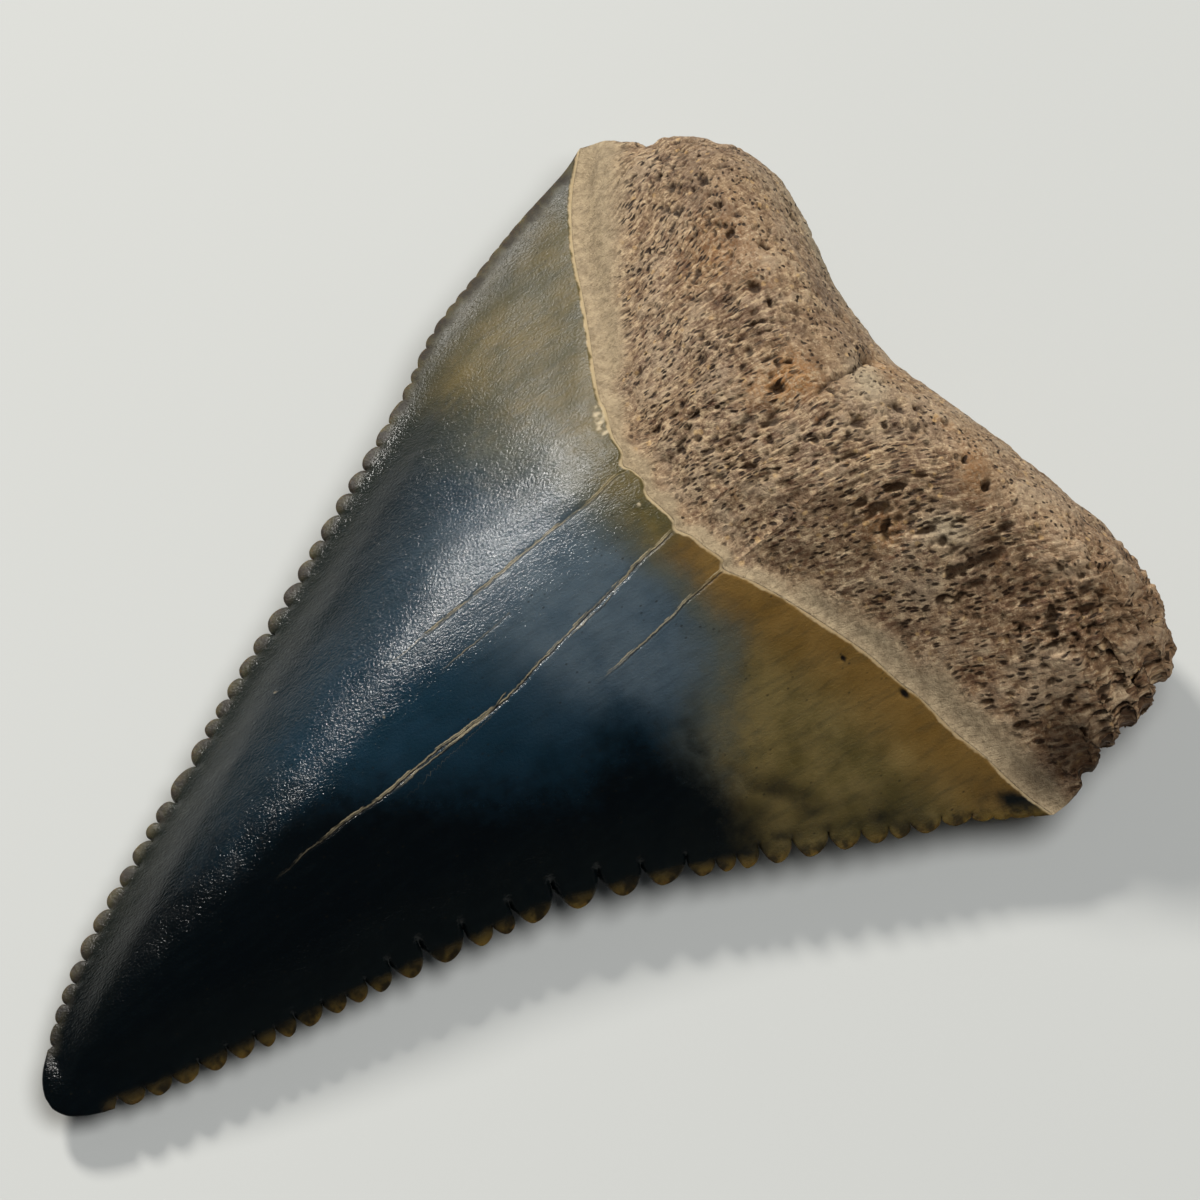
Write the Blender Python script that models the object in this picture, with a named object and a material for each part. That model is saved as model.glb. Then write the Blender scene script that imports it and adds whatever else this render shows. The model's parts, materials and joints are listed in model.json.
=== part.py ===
"""Fossil great white shark tooth: enamel crown and root in one solid.

It lies on its flat labial face, with the curved lingual face up.

The tooth is drawn in its own plane, in millimetres. u runs across it, from the
mesial cutting edge (negative) to the distal one. v runs from the crown's tip to
the root. h is the height above the surface that the tooth lies on. The finished
mesh is in metres, with u along X, v along Y and h along Z, and its origin at the
bottom centre of its box.
"""

import math

import bpy
import numpy as np
from mathutils.geometry import delaunay_2d_cdt
from mathutils.kdtree import KDTree

# ---------------------------------------------------------------- dimensions, mm
CENTRE_U, CENTRE_V = 0.0, 22.585  # middle of the tooth's box in its own plane
EDGE_TIP_H, EDGE_BASE_H = 1.25, 2.2  # height of the cutting edges at tip and shoulder
EDGE_RUN = 36.0  # length over which they rise
LINGUAL_BULGE = 6.2  # full height of the lingual face above the cutting edges
LINGUAL_RUN = 16.0  # how fast it reaches that from the tip
LABIAL_BULGE = 2.9  # depth of the labial face below the cutting edges, worn flat at 0
LABIAL_RUN = 12.0
ROOT_CREST = 9.6  # top of the root's protuberance
CREST_AT, CREST_FALL = 0.5, 11.0  # its place between enamel and base, and its roundness
CREST_ARCH = 0.0105  # how fast it falls towards the lobes
ROOT_SLOPE = 0.62  # rise of the root beyond the enamel
ROOT_RIM_H = 3.3  # height of the root's widest outline
ROOT_ROUND = 2.9  # radius of its upper edge
ROOT_UNDER = 2.2  # radius of its lower edge
ROOT_CLEAR = 0.15  # the root's labial face stands this far off the surface
BLADE = 0.6  # width of the thin margin of the cutting edges
LOBE_DEPTH = 0.44  # serrations, tip to notch, for each mm of their width
LOBE_LEAN = 0.13  # how far they lean towards the tooth's tip, in widths
LOBE_START = 0.18  # where the first one begins
FINE_PITCH, FINE_DEPTH = 0.62, 0.14  # the worn fine serrations near the shoulders
LUMP = 0.16  # slow unevenness of the root

# The serrations' widths from the tip to where they fade out.
MESIAL_LOBES = (
    0.90, 0.80, 0.87, 1.00, 1.20, 1.05, 0.98, 0.98, 1.15, 0.72, 0.97, 1.65,
    1.25, 0.84, 0.88, 0.95, 1.07, 1.00, 1.28, 1.12, 1.01, 0.86, 1.22, 1.01,
    1.09, 1.10, 1.05, 1.09,
)
DISTAL_LOBES = (
    1.12, 1.10, 1.10, 1.15, 1.13, 0.79, 0.85, 1.13, 0.91, 0.87, 1.05, 1.31,
    1.74, 1.02, 0.84, 1.60, 1.75, 1.61, 1.66, 1.01, 0.77, 0.89, 1.28, 1.39,
    1.20, 1.03, 0.82, 1.21, 1.09,
)

# Outer line of each cutting edge, from the tip to the shoulder.
MESIAL_EDGE = (
    (4.25, 0.85), (3.2, 1.8), (1.5, 3.8), (0.3, 5.7), (-1.65, 9.0), (-5.0, 14.7),
    (-6.9, 18.1), (-8.8, 21.3), (-11.2, 25.6), (-12.95, 28.15), (-14.2, 31.1),
    (-15.15, 33.5), (-16.0, 36.0), (-16.6, 37.2),
)
DISTAL_EDGE = (
    (7.55, 1.75), (7.9, 2.9), (8.2, 4.9), (8.6, 8.3), (8.95, 12.0), (9.4, 15.6),
    (9.75, 18.4), (10.65, 21.75), (11.6, 24.65), (12.7, 27.3), (13.65, 29.8),
    (14.7, 32.6), (15.2, 34.1), (15.8, 35.3), (16.6, 36.9),
)
TIP = (
    (4.25, 0.85), (4.9, 0.25), (5.55, -0.1), (6.2, -0.2), (6.8, 0.1), (7.15, 0.6),
    (7.4, 1.2), (7.55, 1.75),
)
# The root's outline, from the distal shoulder over both lobes to the mesial one.
ROOT_OUTLINE = (
    (16.6, 36.9), (16.5, 38.2), (16.1, 39.8), (15.75, 41.5), (15.2, 43.2),
    (14.0, 44.6), (12.1, 45.25), (10.0, 45.3), (7.0, 44.6), (4.2, 43.8),
    (1.5, 42.9), (-1.0, 42.1), (-3.5, 41.9), (-6.0, 42.2), (-8.5, 42.65),
    (-11.0, 42.75), (-12.8, 42.1), (-14.25, 41.0), (-15.4, 39.6), (-16.2, 38.35),
    (-16.6, 37.2),
)
# The line where the enamel ends, on each face, from the mesial shoulder.
LINGUAL_LINE = (
    (-16.6, 37.2), (-13.3, 34.8), (-9.9, 33.1), (-6.8, 31.7), (-4.0, 30.6),
    (-1.5, 30.05), (1.0, 30.1), (3.5, 30.9), (6.0, 32.4), (9.0, 33.8),
    (12.5, 35.1), (15.0, 36.1), (16.6, 36.9),
)
LABIAL_LINE = (
    (-16.6, 37.2), (-13.0, 37.0), (-8.0, 36.2), (-3.0, 35.3), (2.0, 35.2),
    (7.0, 35.9), (12.0, 36.7), (16.6, 36.9),
)

# ---------------------------------------------------------------- how fine the mesh is
LOBE_STEPS = 5  # points on each serration
ROOT_STEP = 0.85  # spacing along the root's outline
FACE_STEP = 1.1  # spacing on the faces
ROOT_RINGS = (0.10, 0.38, 0.85, 1.55)  # rows down the root's rounded edge


def spline(points, step=0.05):
    """A smooth line through the points, as closely spaced points."""
    p = np.array(points, float)
    p = np.vstack([2 * p[0] - p[1], p, 2 * p[-1] - p[-2]])
    out = []
    for a, b, c, d in zip(p, p[1:], p[2:], p[3:]):
        n = max(2, int(np.linalg.norm(c - b) / step))
        t = np.linspace(0, 1, n, endpoint=False)[:, None]
        out.append(
            0.5
            * (
                2 * b
                + (c - a) * t
                + (2 * a - 5 * b + 4 * c - d) * t**2
                + (3 * b - a - 3 * c + d) * t**3
            )
        )
    return np.vstack([*out, p[-2]])


def lengths(line):
    return np.concatenate([[0], np.cumsum(np.linalg.norm(np.diff(line, axis=0), axis=1))])


def at_length(line, s):
    """Points and unit tangents of a line at distances s along it."""
    run = lengths(line)
    s = np.clip(s, 0, run[-1])
    point = np.c_[np.interp(s, run, line[:, 0]), np.interp(s, run, line[:, 1])]
    ahead, behind = np.clip(s + 0.3, 0, run[-1]), np.clip(s - 0.3, 0, run[-1])
    way = np.c_[
        np.interp(ahead, run, line[:, 0]) - np.interp(behind, run, line[:, 0]),
        np.interp(ahead, run, line[:, 1]) - np.interp(behind, run, line[:, 1]),
    ]
    return point, way / np.linalg.norm(way, axis=1, keepdims=True)


def smooth(x):
    x = np.clip(x, 0, 1)
    return x * x * (3 - 2 * x)


def soft_floor(x, k=0.35):
    """x where it is above 0 and exactly 0 below, with a smooth turn between them."""
    return np.where(x > k, x, np.where(x < -k, 0.0, (x + k) ** 2 / (4 * k)))


MESIAL, DISTAL = spline(MESIAL_EDGE), spline(DISTAL_EDGE)
LINGUAL, LABIAL = spline(LINGUAL_LINE), spline(LABIAL_LINE)


def serrated(line, widths, inward, steps):
    """The cutting edge from the tip to the shoulder: rounded lobes with narrow notches, then fine worn ones."""
    total = lengths(line)[-1]
    starts = LOBE_START + np.concatenate([[0], np.cumsum(widths)])
    s, depth = [0.0], [0.0]
    for k, (a, w) in enumerate(zip(starts, widths)):
        fade = min(1.0, 0.55 + 0.15 * k) * min(1.0, 0.4 + 0.15 * (len(widths) - k))
        full = LOBE_DEPTH * fade * w
        for j in range(steps):
            x = j / steps
            swell = math.sin(math.pi * x)
            s.append(a + w * (x - LOBE_LEAN * swell))
            depth.append(full * (1 - swell**0.65))
    count = int((total - starts[-1]) / FINE_PITCH)
    pitch = (total - starts[-1]) / count
    for k in range(count):
        full = FINE_DEPTH * max(0.0, 1 - k / count)
        for j in range(max(2, steps // 2)):
            x = j / max(2, steps // 2)
            s.append(starts[-1] + pitch * (k + x))
            depth.append(full * (1 - math.sin(math.pi * x)))
    point, way = at_length(line, np.array(s))
    side = np.c_[-way[:, 1], way[:, 0]] * inward
    return point + side * np.array(depth)[:, None]


def outline(steps, root_step):
    """The closed outline, anticlockwise from the tip, and the index of each shoulder."""
    tip = spline(TIP)
    run = lengths(tip)[-1]
    tip = at_length(tip, np.linspace(0, run, max(3, int(run / root_step * 2)))[1:-1])[0]
    distal = serrated(DISTAL, DISTAL_LOBES, 1, steps)
    mesial = serrated(MESIAL, MESIAL_LOBES, -1, steps)[::-1]
    root = spline(ROOT_OUTLINE)
    run = lengths(root)[-1]
    root = at_length(root, np.linspace(0, run, int(run / root_step) + 1))[0]
    loop = np.vstack([tip, distal, root, mesial])
    first = len(tip) + len(distal)
    return loop, first, first + len(root) - 1


def edge_height(v):
    """Height of the widest outline: the cutting edges, then the root's side."""
    crown = EDGE_TIP_H + (EDGE_BASE_H - EDGE_TIP_H) * smooth(v / EDGE_RUN)
    return crown + (ROOT_RIM_H - EDGE_BASE_H) * smooth((v - 37.0) / 4.0)


def across(u, v):
    """Place between the cutting edges: -1 on the mesial one, 1 on the distal one."""
    a = np.interp(v, MESIAL[:, 1], MESIAL[:, 0])
    b = np.interp(v, DISTAL[:, 1], DISTAL[:, 0])
    return np.clip((2 * u - a - b) / (b - a), -1, 1)


def lingual_crown(u, v):
    s = across(u, v)
    form = 0.55 * (1 - s * s) + 0.45 * np.cos(np.pi * s / 2) ** 2
    return edge_height(v) + LINGUAL_BULGE * (1 - np.exp(-(v + 0.2) / LINGUAL_RUN)) * form


def labial_crown(u, v):
    s = across(u, v)
    depth = LABIAL_BULGE * (1 - np.exp(-(v + 0.2) / LABIAL_RUN)) * (1 - s * s)
    return soft_floor(edge_height(v) - depth)


def line_v(line, u):
    return np.interp(u, line[:, 0], line[:, 1])


def base_v(u):
    """The root's far edge at each u."""
    line = spline(ROOT_OUTLINE)
    far = line[(np.abs(line[:, 0]) < 15.2) & (line[:, 1] > 40)][::-1]
    return np.interp(u, far[:, 0], far[:, 1])


def rounded(d, r):
    """A quarter round that starts upright at the outline and is level r inside it."""
    return np.sqrt(np.clip(1 - (1 - np.clip(d / r, 0, 1)) ** 2, 0, 1))


def lumps(u, v, h):
    """Slow unevenness of the root's surface, from a few fixed waves."""
    total = np.zeros_like(u)
    for k, (a, b, c, p) in enumerate(
        ((1.1, 0.7, 0.5, 0.3), (-0.6, 1.3, 0.9, 1.9), (1.9, -1.2, 0.4, 4.1), (0.5, 2.3, -1.1, 2.2))
    ):
        total += np.sin(a * u + b * v + c * h + p) / (1 + 0.4 * k)
    return total / 2.6


def upper(u, v, d):
    """Height of the lingual face, where d is the distance to the outline."""
    rim = edge_height(v)
    start = line_v(LINGUAL, u)
    q = v - start
    crown = lingual_crown(u, v)
    base = lingual_crown(u, start)
    slope = base + ROOT_SLOPE * q
    along = q / np.maximum(base_v(u) - start, 4.0)
    crest = ROOT_CREST - CREST_ARCH * u * u - CREST_FALL * (along - CREST_AT) ** 2
    top = -np.log(np.exp(-1.6 * slope) + np.exp(-1.6 * crest)) / 1.6
    top = base + (top - base) * smooth(q / 1.2)
    top += LUMP * lumps(u, v, top) * smooth(q / 4)
    face = np.where(q > 0, top, crown)
    r = BLADE + (ROOT_ROUND - BLADE) * smooth(q / 3.0)
    return rim + (face - rim) * rounded(d, r)


def lower(u, v, d):
    """Height of the labial face."""
    rim = edge_height(v)
    start = line_v(LABIAL, u)
    q = v - start
    crown = labial_crown(u, v)
    notch = 1.3 * np.exp(-((u + 1.5) ** 2) / 22 - ((v - 43) ** 2) / 9)
    flat = ROOT_CLEAR + notch + 0.5 * LUMP * (1 + lumps(u, v, 0 * u))
    base = labial_crown(u, start)
    low = base + (flat - base) * smooth(q / 3.5)
    face = np.where(q > 0, low, crown)
    r = BLADE + (ROOT_UNDER - BLADE) * smooth(q / 3.0)
    return rim + (face - rim) * rounded(d, r)


def tree_of(points):
    tree = KDTree(len(points))
    for i, p in enumerate(points):
        tree.insert((p[0], p[1], 0), i)
    tree.balance()
    return tree


def distance(tree, points):
    return np.array([tree.find((p[0], p[1], 0))[2] for p in points])


def inside(loop, points):
    """Which points lie inside the closed loop, by counting crossings."""
    a, b = loop, np.roll(loop, -1, axis=0)
    u, v = points[:, 0, None], points[:, 1, None]
    spans = (a[:, 1] > v) != (b[:, 1] > v)
    rise = np.where(b[:, 1] == a[:, 1], 1e-12, b[:, 1] - a[:, 1])
    crossing = a[:, 0] + (v - a[:, 1]) * (b[:, 0] - a[:, 0]) / rise
    return (spans & (u < crossing)).sum(axis=1) % 2 == 1


def sheet(loop, ends, enamel_line, dense):
    """One face of the tooth in its plane: points, triangles, and each point's distance to the outline. The loop's points come first."""
    first, last = ends
    n = len(loop)
    # The enamel line, from one shoulder to the other.
    line = spline(enamel_line)
    run = lengths(line)[-1]
    line = at_length(line, np.linspace(0, run, int(run / FACE_STEP) + 1))[0][1:-1]
    chain = [last, *range(n, n + len(line)), first]
    # Rows on the root's rounded edge.
    root = loop[first : last + 1]
    way = np.gradient(root, axis=0)
    way /= np.linalg.norm(way, axis=1, keepdims=True)
    side = np.c_[-way[:, 1], way[:, 0]]
    rows = [
        (root + side * d)[1 + k // 2 : len(root) - 1 - k // 2]
        for k, d in enumerate(ROOT_RINGS)
    ]
    # Rows inside the serrations, where the lobes run into the face.
    rim = dense
    for edge, inward in ((DISTAL, 1), (MESIAL, -1)):
        run = lengths(edge)[-1]
        for d, gap in ((0.78, 0.55), (1.35, 0.85)):
            point, way = at_length(edge, np.arange(0.8, run - 0.6, gap))
            rows.append(point + np.c_[-way[:, 1], way[:, 0]] * inward * d)
    fixed = np.vstack([loop, line])
    taken = np.vstack([fixed, *rows])
    # An even pattern over the rest.
    pattern = []
    for k, v in enumerate(np.arange(-0.5, 46, FACE_STEP * math.sqrt(3) / 2)):
        for u in np.arange(-17.2 + FACE_STEP / 2 * (k % 2), 17.2, FACE_STEP):
            pattern.append((u, v))
    pattern = np.array(pattern)
    near = distance(tree_of(taken), pattern)
    pattern = pattern[inside(loop, pattern) & (near > 0.62 * FACE_STEP)]
    rows = np.vstack(rows)
    rows = rows[inside(loop, rows) & (distance(tree_of(fixed), rows) > 0.06)]
    rows = rows[(distance(tree_of(line), rows) > 0.35)]
    every = np.vstack([fixed, rows, pattern])
    edges = [(i, (i + 1) % n) for i in range(n)] + list(zip(chain, chain[1:]))
    while True:
        out = delaunay_2d_cdt([tuple(p) for p in every], edges, [], 1, 1e-7, True)
        order = [origin[0] for origin in out[3]]
        faces = np.array([[order[i] for i in f] for f in out[2]])
        faces = faces[inside(loop, every[faces].mean(axis=1))]
        # An edge between two points of the outline would lie in both faces of the
        # tooth at once, so it gets a point of its own in the middle.
        ends = np.vstack([faces[:, [0, 1]], faces[:, [1, 2]], faces[:, [2, 0]]])
        ends = ends[(ends < n).all(axis=1) & (ends[:, 0] < ends[:, 1])]
        gap = ends[:, 1] - ends[:, 0]
        ends = np.unique(ends[(gap > 1) & (gap < n - 1)], axis=0)
        if not len(ends):
            break
        every = np.vstack([every, every[ends].mean(axis=1)])
    d = distance(tree_of(rim), every)
    d[:n] = 0
    return every, faces, d


def build_tooth():
    loop, first, last = outline(LOBE_STEPS, ROOT_STEP)
    closed = np.vstack([loop, loop[:1]])
    fine = at_length(closed, np.arange(0, lengths(closed)[-1], 0.04))[0]
    n = len(loop)
    top, top_faces, top_d = sheet(loop, (first, last), LINGUAL_LINE, fine)
    low, low_faces, low_d = sheet(loop, (first, last), LABIAL_LINE, fine)
    top_h = upper(top[:, 0], top[:, 1], top_d)
    low_h = lower(low[:, 0], low[:, 1], low_d)
    points = np.vstack([np.c_[top, top_h], np.c_[low[n:], low_h[n:]]])
    shift = len(top) - n
    low_faces = np.where(low_faces < n, low_faces, low_faces + shift)[:, ::-1]
    faces = np.vstack([top_faces, low_faces])
    points -= (CENTRE_U, CENTRE_V, 0)
    # The enamel's faces: on each side, those on the tip's side of its line.
    middle = points[faces].mean(axis=1) + (CENTRE_U, CENTRE_V, 0)
    limit = np.where(
        np.arange(len(faces)) < len(top_faces),
        line_v(LINGUAL, middle[:, 0]),
        line_v(LABIAL, middle[:, 0]),
    )
    return points * 0.001, faces, middle[:, 1] > limit


def material(name, colour, roughness):
    made = bpy.data.materials.new(name)
    made.use_nodes = True
    shader = made.node_tree.nodes["Principled BSDF"]
    shader.inputs["Base Color"].default_value = (*colour, 1)
    shader.inputs["Roughness"].default_value = roughness
    shader.inputs["Metallic"].default_value = 0
    return made


def main():
    for obj in list(bpy.data.objects):
        bpy.data.objects.remove(obj)
    points, faces, is_root = build_tooth()
    mesh = bpy.data.meshes.new("tooth")
    mesh.from_pydata(points.tolist(), [], faces.tolist())
    mesh.materials.append(material("enamel", (0.055, 0.065, 0.075), 0.28))
    mesh.materials.append(material("root", (0.22, 0.15, 0.10), 0.85))
    mesh.polygons.foreach_set("material_index", is_root.astype(np.int32))
    mesh.shade_smooth()
    mesh.set_sharp_from_angle(angle=math.radians(60))
    mesh.validate()
    tooth = bpy.data.objects.new("tooth", mesh)
    bpy.context.scene.collection.objects.link(tooth)
    print(len(mesh.vertices), "points", len(mesh.polygons), "triangles")


main()
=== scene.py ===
"""Fossil great white shark tooth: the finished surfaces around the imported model.

The crown and the root are two closed meshes that meet along the line where the
enamel ends. The tooth is drawn in its own plane, in millimetres: u runs across it,
from the mesial cutting edge (negative) to the distal one, v runs from the crown's
tip to the root, and h is the height above the surface that the tooth lies on.
"""

import json
import math

import bpy
import numpy as np
from mathutils import Matrix, Vector
from mathutils.geometry import delaunay_2d_cdt
from mathutils.kdtree import KDTree

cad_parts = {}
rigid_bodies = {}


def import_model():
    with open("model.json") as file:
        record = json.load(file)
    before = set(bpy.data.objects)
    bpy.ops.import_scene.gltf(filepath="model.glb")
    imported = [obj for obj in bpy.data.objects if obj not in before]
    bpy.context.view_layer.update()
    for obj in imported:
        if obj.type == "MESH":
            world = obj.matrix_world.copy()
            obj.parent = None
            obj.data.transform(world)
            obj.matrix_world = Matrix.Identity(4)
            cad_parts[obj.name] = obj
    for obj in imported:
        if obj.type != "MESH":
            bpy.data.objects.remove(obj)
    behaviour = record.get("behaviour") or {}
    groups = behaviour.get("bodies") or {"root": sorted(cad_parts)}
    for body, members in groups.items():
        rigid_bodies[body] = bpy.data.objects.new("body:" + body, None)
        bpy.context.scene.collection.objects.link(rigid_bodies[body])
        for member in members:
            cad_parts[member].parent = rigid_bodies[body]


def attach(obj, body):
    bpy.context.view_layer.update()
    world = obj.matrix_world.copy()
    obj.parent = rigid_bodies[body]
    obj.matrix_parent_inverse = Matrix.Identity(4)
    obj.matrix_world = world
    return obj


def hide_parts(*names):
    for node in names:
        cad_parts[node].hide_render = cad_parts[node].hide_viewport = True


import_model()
for left_over in [o for o in bpy.data.objects if o.name in ("Cube", "Light", "Camera")]:
    bpy.data.objects.remove(left_over)
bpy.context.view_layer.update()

# ---------------------------------------------------------------- the tooth's form, mm
CENTRE_U, CENTRE_V = 0.0, 22.585
EDGE_TIP_H, EDGE_BASE_H, EDGE_RUN = 1.25, 2.2, 36.0
LINGUAL_BULGE, LINGUAL_RUN = 6.2, 16.0
LABIAL_BULGE, LABIAL_RUN = 2.9, 12.0
ROOT_CREST, CREST_AT, CREST_FALL, CREST_ARCH = 9.6, 0.5, 11.0, 0.0105
ROOT_SLOPE, ROOT_RIM_H, ROOT_ROUND, ROOT_UNDER, ROOT_CLEAR = 0.62, 3.3, 2.9, 2.2, 0.15
BLADE = 0.34  # width of the rounded margin of the cutting edges
LUMP = 0.16
LOBE_START = 0.18
MESIAL_LOBES = (
    0.90, 0.80, 0.87, 1.00, 1.20, 1.05, 0.98, 0.98, 1.15, 0.72, 0.97, 1.65,
    1.25, 0.84, 0.88, 0.95, 1.07, 1.00, 1.28, 1.12, 1.01, 0.86, 1.22, 1.01,
    1.09, 1.10, 1.05, 1.09,
)
DISTAL_LOBES = (
    1.12, 1.10, 1.10, 1.15, 1.13, 0.79, 0.85, 1.13, 0.91, 0.87, 1.05, 1.31,
    1.74, 1.02, 0.84, 1.60, 1.75, 1.61, 1.66, 1.01, 0.77, 0.89, 1.28, 1.39,
    1.20, 1.03, 0.82, 1.21, 1.09,
)
MESIAL_EDGE = (
    (4.25, 0.85), (3.2, 1.8), (1.5, 3.8), (0.3, 5.7), (-1.65, 9.0), (-5.0, 14.7),
    (-6.9, 18.1), (-8.8, 21.3), (-11.2, 25.6), (-12.95, 28.15), (-14.2, 31.1),
    (-15.15, 33.5), (-16.0, 36.0), (-16.6, 37.2),
)
DISTAL_EDGE = (
    (7.55, 1.75), (7.9, 2.9), (8.2, 4.9), (8.6, 8.3), (8.95, 12.0), (9.4, 15.6),
    (9.75, 18.4), (10.65, 21.75), (11.6, 24.65), (12.7, 27.3), (13.65, 29.8),
    (14.7, 32.6), (15.2, 34.1), (15.8, 35.3), (16.6, 36.9),
)
TIP = (
    (4.25, 0.85), (4.9, 0.25), (5.55, -0.1), (6.2, -0.2), (6.8, 0.1), (7.15, 0.6),
    (7.4, 1.2), (7.55, 1.75),
)
ROOT_OUTLINE = (
    (16.6, 36.9), (16.5, 38.2), (16.1, 39.8), (15.75, 41.5), (15.2, 43.2),
    (14.0, 44.6), (12.1, 45.25), (10.0, 45.3), (7.0, 44.6), (4.2, 43.8),
    (1.5, 42.9), (-1.0, 42.1), (-3.5, 41.9), (-6.0, 42.2), (-8.5, 42.65),
    (-11.0, 42.75), (-12.8, 42.1), (-14.25, 41.0), (-15.4, 39.6), (-16.2, 38.35),
    (-16.6, 37.2),
)
# Where the enamel ends on each face, with the small scallops of its rim.
LINGUAL_LINE = (
    (-16.6, 37.2), (-15.0, 35.85), (-13.4, 34.8), (-11.9, 34.0), (-10.1, 33.2),
    (-8.1, 32.25), (-6.6, 31.5), (-5.3, 30.9), (-4.6, 30.75), (-3.4, 30.3),
    (-2.6, 30.2), (-2.1, 29.9), (-1.7, 30.05), (-1.1, 30.15), (-0.5, 29.95),
    (0.3, 30.1), (0.9, 30.2), (1.25, 30.1), (1.8, 30.45), (2.4, 30.65),
    (3.1, 30.95), (3.45, 30.8), (4.5, 31.6), (6.0, 32.5), (7.8, 33.5),
    (8.7, 33.95), (9.8, 34.35), (10.8, 34.8), (12.3, 35.25), (13.5, 35.75),
    (14.7, 36.15), (15.8, 36.55), (16.6, 36.9),
)
LABIAL_LINE = (
    (-16.6, 37.2), (-14.8, 37.0), (-13.0, 37.05), (-10.5, 36.6), (-8.0, 36.3),
    (-5.6, 35.6), (-3.0, 35.3), (-0.5, 35.05), (2.0, 35.25), (4.4, 35.45),
    (7.0, 35.95), (9.5, 36.2), (12.0, 36.75), (14.5, 36.8), (16.6, 36.9),
)
# Age cracks in the enamel: points from the root's side to the tip's side, half width
# at the middle, depth, and the height of the step across it.
CRACKS = (
    (((-1.7, 30.05), (-1.8, 29.4), (-1.5, 28.0), (-1.3, 25.7), (-1.1, 24.6), (-0.7, 21.5), (-0.4, 19.2), (-0.4, 17.9)), 0.06, 0.11, 0.09),
    (((1.25, 30.1), (1.4, 29.3), (1.6, 28.2), (2.0, 26.6), (2.3, 25.3), (2.8, 23.1), (3.2, 21.3), (3.4, 18.9), (3.5, 17.5), (3.8, 15.9), (3.8, 14.4), (4.0, 12.2), (4.3, 10.5)), 0.06, 0.1, 0.06),
    (((1.62, 28.1), (2.15, 26.5), (2.42, 25.4), (2.7, 24.2)), 0.03, 0.04, 0.0),
    (((3.0, 21.6), (3.38, 20.2), (3.52, 18.8), (3.66, 17.4), (3.95, 16.0)), 0.03, 0.05, 0.0),
    (((3.45, 30.8), (3.5, 30.5), (3.7, 29.2), (4.2, 26.6), (4.5, 24.3)), 0.035, 0.055, 0.03),
    (((0.6, 23.3), (0.85, 21.6), (1.1, 19.9)), 0.022, 0.025, 0.0),
)


# ---------------------------------------------------------------- lines in the plane
def spline(points, step=0.02):
    """A smooth line through the points, as closely spaced points."""
    p = np.array(points, float)
    p = np.vstack([2 * p[0] - p[1], p, 2 * p[-1] - p[-2]])
    out = []
    for a, b, c, d in zip(p, p[1:], p[2:], p[3:]):
        n = max(2, int(np.linalg.norm(c - b) / step))
        t = np.linspace(0, 1, n, endpoint=False)[:, None]
        out.append(
            0.5
            * (
                2 * b
                + (c - a) * t
                + (2 * a - 5 * b + 4 * c - d) * t**2
                + (3 * b - a - 3 * c + d) * t**3
            )
        )
    return np.vstack([*out, p[-2]])


def lengths(line):
    return np.concatenate([[0], np.cumsum(np.linalg.norm(np.diff(line, axis=0), axis=1))])


def at_length(line, s, reach=0.3):
    """Points and unit tangents of a line at distances s along it."""
    run = lengths(line)
    s = np.clip(s, 0, run[-1])
    point = np.c_[np.interp(s, run, line[:, 0]), np.interp(s, run, line[:, 1])]
    ahead, behind = np.clip(s + reach, 0, run[-1]), np.clip(s - reach, 0, run[-1])
    way = np.c_[
        np.interp(ahead, run, line[:, 0]) - np.interp(behind, run, line[:, 0]),
        np.interp(ahead, run, line[:, 1]) - np.interp(behind, run, line[:, 1]),
    ]
    return point, way / np.linalg.norm(way, axis=1, keepdims=True)


def evenly(line, step, count=None):
    run = lengths(line)[-1]
    n = count or max(2, int(round(run / step)) + 1)
    return at_length(line, np.linspace(0, run, n))[0]


def smooth(x):
    x = np.clip(x, 0, 1)
    return x * x * (3 - 2 * x)


def ramp(x, low, high):
    return smooth((x - low) / (high - low))


def soft_floor(x, k=0.35):
    return np.where(x > k, x, np.where(x < -k, 0.0, (x + k) ** 2 / (4 * k)))


MESIAL, DISTAL = spline(MESIAL_EDGE), spline(DISTAL_EDGE)
LINGUAL, LABIAL = spline(LINGUAL_LINE), spline(LABIAL_LINE)


# ---------------------------------------------------------------- seeded noise
def hashed(i, j, k, seed):
    """A fixed random number from 0 to 1 for each whole-number cell."""
    n = (i * 73856093) ^ (j * 19349663) ^ (k * 83492791) ^ (seed * 2654435761)
    n = n & 0xFFFFFFFF
    n = ((n ^ (n >> 16)) * 0x45D9F3B) & 0xFFFFFFFF
    n = ((n ^ (n >> 16)) * 0x45D9F3B) & 0xFFFFFFFF
    n = n ^ (n >> 16)
    return n / 4294967296.0


def noise(p, seed=0):
    """Smooth noise from -1 to 1 with features about one unit across."""
    base = np.floor(p).astype(np.int64)
    f = p - base
    f = f * f * f * (f * (f * 6 - 15) + 10)
    total = np.zeros(len(p))
    for dx in (0, 1):
        for dy in (0, 1):
            for dz in (0, 1):
                weight = (
                    (f[:, 0] if dx else 1 - f[:, 0])
                    * (f[:, 1] if dy else 1 - f[:, 1])
                    * (f[:, 2] if dz else 1 - f[:, 2])
                )
                total += weight * hashed(base[:, 0] + dx, base[:, 1] + dy, base[:, 2] + dz, seed)
    return 2 * total - 1


def layered(p, octaves, seed=0, gain=0.5):
    total, size, top = np.zeros(len(p)), 1.0, 0.0
    for k in range(octaves):
        total += size * noise(p * 2.03**k + 17.3 * k, seed + k)
        top += size
        size *= gain
    return total / top


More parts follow.
